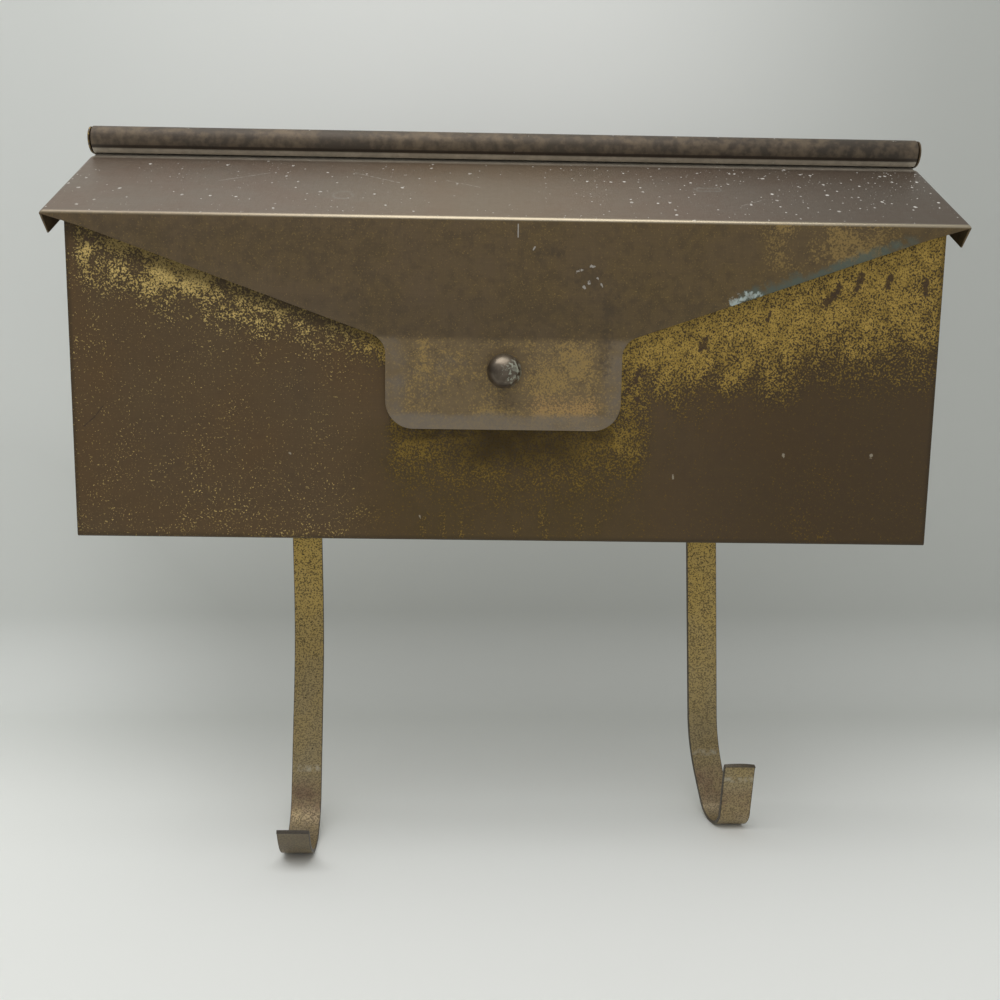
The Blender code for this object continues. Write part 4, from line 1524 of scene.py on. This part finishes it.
@dataclass
class Hook:
    """Paper hook: a brass strap riveted behind the box, bent forward and curled up."""

    side: str
    x: float
    drop: float
    bow: float
    bow_turn: float
    run: float
    curl_radius: float
    curl_turn: float
    end: float
    lean: float
    swing: float
    width: float = 0.0159
    thickness: float = 0.0016
    head: float = 0.0480
    tip: float = 0.0035
    flare: float = math.radians(35)
    rear_y: float = -0.0019
    rivet_heights: Point2 = (-0.0828, -0.0568)
    rivet_hole: float = 0.0017
    columns: int = 6
    edge_column: float = 0.0006
    crown: float = 0.0011
    broken_edge: float = 0.00030
    tip_band: float = 0.0013
    side_band: float = 0.0004
    smooth_angle: float = 35

    def at_end(self, tip: Tip, at: Vector) -> bool:
        """Say whether a point lies on the strap's end face."""
        past, away = tip.offset(at)
        return abs(past) < CLOSE and away < self.width

    def arc(self, bench: Bench, tip: Tip, length: float, turn: float, steps: int) -> None:
        """Bend the strap's end through an arc.

        Args:
            bench: The piece.
            tip: Its end, which moves on with the bend.
            length: Length of the arc.
            turn: Angle forward and up, or back if negative.
            steps: Pieces that the arc is made of.
        """
        bench.pick("FACE", lambda at: self.at_end(tip, at))
        radius = length / turn
        cy = tip.y - math.cos(tip.heading) * radius
        cz = tip.z + math.sin(tip.heading) * radius
        bench.spin(steps, turn, (self.x, cy, cz), (-1, 0, 0))
        tip.heading += turn
        tip.y = cy + math.cos(tip.heading) * radius
        tip.z = cz - math.sin(tip.heading) * radius

    def straight(self, bench: Bench, tip: Tip, length: float, steps: int = 1) -> None:
        """Carry the strap's end straight on.

        Args:
            bench: The piece.
            tip: Its end, which moves on.
            length: How far.
            steps: Pieces that the run is made of.
        """
        bench.pick("FACE", lambda at: self.at_end(tip, at))
        move = tip.onward() * (length / steps)
        for _ in range(steps):
            bench.extrude(move)
        tip.y += move.y * steps
        tip.z += move.z * steps

    def round_tip(self, obj: bpy.types.Object, tip: Tip) -> None:
        """Crown the strap's cut end.

        Args:
            obj: The strap.
            tip: Its end.
        """
        for vert in obj.data.vertices:
            if self.at_end(tip, vert.co):
                share = (vert.co.x - self.x) / (self.width / 2)
                vert.co -= tip.onward() * (self.crown * share ** 2)

    def mark_edges(self, obj: bpy.types.Object, tip: Tip) -> None:
        """Mark the points on the strap's edges and its tip.

        Args:
            obj: The strap before it leans.
            tip: Its end.
        """
        layer = obj.data.attributes.new("strap_edge", "FLOAT", "POINT")
        for vert in obj.data.vertices:
            past, away = tip.offset(vert.co)
            at_tip = past > -self.tip_band and away < self.width
            at_side = self.width / 2 - abs(vert.co.x - self.x) < self.side_band
            layer.data[vert.index].value = 1.0 if at_tip or at_side else 0.0

    def build_strap(self) -> tuple[Bench, Tip]:
        """Bend the plain strap.

        Returns:
            The piece and its end.
        """
        tip = Tip(self.x, self.rear_y, BOX_BOTTOM_Z + self.head)
        size = (self.width, self.thickness)
        bench = Bench.plane(f"{self.side}_paper_hook", size, (tip.x, tip.y, tip.z))
        bench.edit("FACE")
        half = self.width / 2
        places = [self.width * step / self.columns - half for step in range(1, self.columns)]
        for place in (*places, self.edge_column - half, half - self.edge_column):
            bench.cut((self.x + place, 0, 0), ALONG_X)
        bpy.ops.mesh.select_all(action="SELECT")
        bpy.ops.mesh.flip_normals()
        self.straight(bench, tip, self.head + self.thickness)
        self.straight(bench, tip, self.drop, steps=6)
        self.arc(bench, tip, self.bow, self.bow_turn, steps=12)
        self.straight(bench, tip, self.run, steps=3)
        self.arc(bench, tip, self.curl_radius * self.curl_turn, self.curl_turn, steps=32)
        self.straight(bench, tip, self.end, steps=2)
        self.arc(bench, tip, self.tip, -self.flare, steps=4)
        bench.weld()
        bench.object_mode()
        return bench, tip

    def build(self, material: bpy.types.Material) -> bpy.types.Object:
        """Make the hook.

        Args:
            material: Its finish.

        Returns:
            The piece.
        """
        bench, tip = self.build_strap()
        self.round_tip(bench.obj, tip)
        bench.ease(self.broken_edge, segments=3, angle=50)
        self.mark_edges(bench.obj, tip)
        for vert in bench.obj.data.vertices:
            below = max(0.0, BOX_BOTTOM_Z - self.thickness - vert.co.z)
            vert.co.x += self.lean * below + self.swing * (self.rear_y - vert.co.y)
        for height in self.rivet_heights:
            bench.drill((self.x, self.rear_y, height), self.rivet_hole, depth=0.006)
        bench.smooth(self.smooth_angle)
        return bench.done("box", "strap_brass", material, f"{self.side}_hook")


@dataclass
class Studio:
    """Pale sweep, soft light and the camera."""

    lens: float = 37.8
    sensor: float = 36.0
    place: Point3 = (-0.010412, -0.568662, -0.005254)
    right: Point3 = (0.99978353, -0.014863, 0.01455958)
    up: Point3 = (-0.01227296, 0.14377324, 0.98953455)
    forward: Point3 = (0.01680073, 0.98949904, -0.1435597)
    floor_size: Point2 = (6.0, 2.5)
    wall_y: float = 0.20
    wall_height: float = 2.0
    bend: float = 0.06
    bend_steps: int = 16
    clearance: float = 0.0001
    pale: Colour = tone(226, 228, 224)
    bright: Colour = tone(238, 239, 235)
    dim: Colour = tone(190, 192, 187)
    room: Colour = (0.96, 0.97, 0.98)
    room_strength: float = 0.50
    lamp_place: Point3 = (-0.25, -0.35, 1.25)
    lamp_aim: Point3 = (0, 0.0, -0.1)
    lamp_size: Point2 = (1.6, 1.2)
    lamp_watts: float = 14.0

    def camera(self) -> None:
        """Set the camera where the photograph was taken from."""
        data = bpy.data.cameras.new("camera")
        data.lens, data.sensor_width = self.lens, self.sensor
        data.clip_start, data.clip_end = 0.01, 20.0
        camera = bpy.data.objects.new("camera", data)
        bpy.context.scene.collection.objects.link(camera)
        turn = Matrix((self.right, self.up, -Vector(self.forward))).transposed().to_4x4()
        camera.matrix_world = Matrix.Translation(self.place) @ turn
        bpy.context.scene.camera = camera

    def sweep_material(self) -> bpy.types.Material:
        """Matt pale paper with painted light and shade, that can't be seen from behind.

        Returns:
            The material.
        """
        material = bpy.data.materials.new("pale_paper")
        material.use_nodes = True
        tree = material.node_tree
        shader = tree.nodes["Principled BSDF"]
        _, x, y, z = object_place(tree)
        # Painted light and shade: dim behind and right of the box where its shadow falls, paler to the
        # left, bright on the near floor and high on the wall.
        floor = y.ramp(self.wall_y - 0.035, -0.02)
        high = z.ramp(0.0, 0.20) * x.near(-0.02, 0.36, 0.04)
        level = z.ramp(-0.250, -0.02) * x.ramp(0.40, -0.25) * 0.75
        level = level.most(x.ramp(-0.15, -0.36) * 0.62)
        colour = self.dim
        for share, shade in ((level, self.pale), (floor, self.bright), (high, self.bright)):
            colour = mix_colours(tree, share, colour, shade)
        for name, value in (("Base Color", colour), ("Roughness", 0.8), ("Specular IOR Level", 0.2)):
            plug(tree, shader.inputs[name], value)
        clear = tree.nodes.new("ShaderNodeBsdfTransparent")
        either = tree.nodes.new("ShaderNodeMixShader")
        behind = tree.nodes.new("ShaderNodeNewGeometry")
        sources = (behind.outputs["Backfacing"], shader.outputs[0], clear.outputs[0])
        for source, slot in zip(sources, either.inputs):
            tree.links.new(source, slot)
        tree.links.new(either.outputs[0], tree.nodes["Material Output"].inputs["Surface"])
        return material

    def sweep(self, left_foot: Vector, right_foot: Vector) -> None:
        """Lay the floor under both hooks and sweep it up behind.

        Args:
            left_foot: Lowest point of the left hook.
            right_foot: Lowest point of the right hook.
        """
        floor_end = self.wall_y - self.bend
        bench = Bench.plane("floor_sweep", self.floor_size, (0, 0, 0))
        bench.edit("EDGE")
        bpy.ops.mesh.select_all(action="SELECT")
        bench.move((0, floor_end - self.floor_size[1] / 2, 0))
        bench.pick("EDGE", lambda at: at.y > floor_end - NEAR)
        bench.spin(self.bend_steps, math.pi / 2, (0, floor_end, self.bend), ALONG_X)
        bench.pick("EDGE", lambda at: at.y > self.wall_y - NEAR)
        bench.extrude((0, 0, self.wall_height))
        bench.object_mode()
        tilt = math.atan2(right_foot.z - left_foot.z, right_foot.x - left_foot.x)
        down = Matrix.Translation((left_foot.x, 0, left_foot.z - self.clearance))
        bench.obj.data.transform(down @ Matrix.Rotation(-tilt, 4, "Y"))
        bench.smooth(40)
        bench.obj.data.materials.append(self.sweep_material())

    def light(self) -> None:
        """Set the room's light and hang one soft lamp above."""
        world = bpy.data.worlds.new("room")
        world.use_nodes = True
        backdrop = world.node_tree.nodes["Background"]
        backdrop.inputs["Color"].default_value = (*self.room, 1.0)
        backdrop.inputs["Strength"].default_value = self.room_strength
        bpy.context.scene.world = world
        data = bpy.data.lights.new("top_light", "AREA")
        data.shape = "RECTANGLE"
        data.size, data.size_y = self.lamp_size
        data.energy = self.lamp_watts
        lamp = bpy.data.objects.new("top_light", data)
        lamp.location = self.lamp_place
        lamp.rotation_mode = "QUATERNION"
        aim = Vector(self.lamp_aim) - Vector(self.lamp_place)
        lamp.rotation_quaternion = aim.to_track_quat("-Z", "Y")
        bpy.context.scene.collection.objects.link(lamp)
        bpy.context.scene.view_settings.view_transform = "Standard"


def dress(names: Sequence[str], material: bpy.types.Material) -> None:
    """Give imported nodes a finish.

    Args:
        names: The nodes.
        material: Their finish.
    """
    for name in names:
        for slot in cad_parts[name].material_slots:
            slot.material = material
        LOG.info("%s: dressed with %s", name, material.name)


def lowest(obj: bpy.types.Object) -> Vector:
    """Lowest point of a piece."""
    return min((obj.matrix_world @ vert.co for vert in obj.data.vertices), key=lambda at: at.z)


def main() -> None:
    """Build and dress every piece, then the studio."""
    shelf = EffectShelf()
    Lid().build(LidFinish().make(shelf))
    Knob().build(KnobFinish().make(shelf))
    left = Hook(
        side="left", x=-0.1058, drop=0.0403, bow=0.0523, bow_turn=math.radians(20), run=0.0582,
        curl_radius=0.0259, curl_turn=math.radians(134), end=0.0042, lean=0.012, swing=0.035)
    right = Hook(
        side="right", x=0.1096, drop=0.1096, bow=0.0348, bow_turn=math.radians(29), run=0.0132,
        curl_radius=0.0120, curl_turn=math.radians(140), end=0.0269, lean=0.048, swing=0.253)
    feet = []
    for hook, brown in ((left, tone(150, 134, 112)), (right, tone(178, 160, 128))):
        low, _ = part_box(f"{hook.side}_hook")
        finish = StrapFinish(f"{hook.side}_strap_patina", top=BOX_BOTTOM_Z, low=low.z, brown=brown)
        feet.append(lowest(hook.build(finish.make(shelf))))

    dress(["front_sheet"], PanelFinish().make(shelf))
    dress(["left_end_panel", "right_end_panel"], PlainFinish("end_panel_patina").make(shelf))
    dress(["back_plate"], PlainFinish("back_plate_patina", cover=0.30, brown=tone(92, 76, 54)).make(shelf))
    dress(["hinge_rod"], PlainFinish("rod_patina", cover=0.35, metal=0.7).make(shelf))
    rivets = sorted(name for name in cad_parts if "rivet" in name)
    finish = PlainFinish("rivet_patina", cover=0.45, grain_size=0.0007, metal=0.7)
    dress([*rivets, "knob_washer"], finish.make(shelf))

    studio = Studio()
    studio.camera()
    studio.light()
    studio.sweep(*feet)


if __name__ == "__main__":
    logging.basicConfig(level=logging.INFO, format="%(name)s %(message)s")
    main()
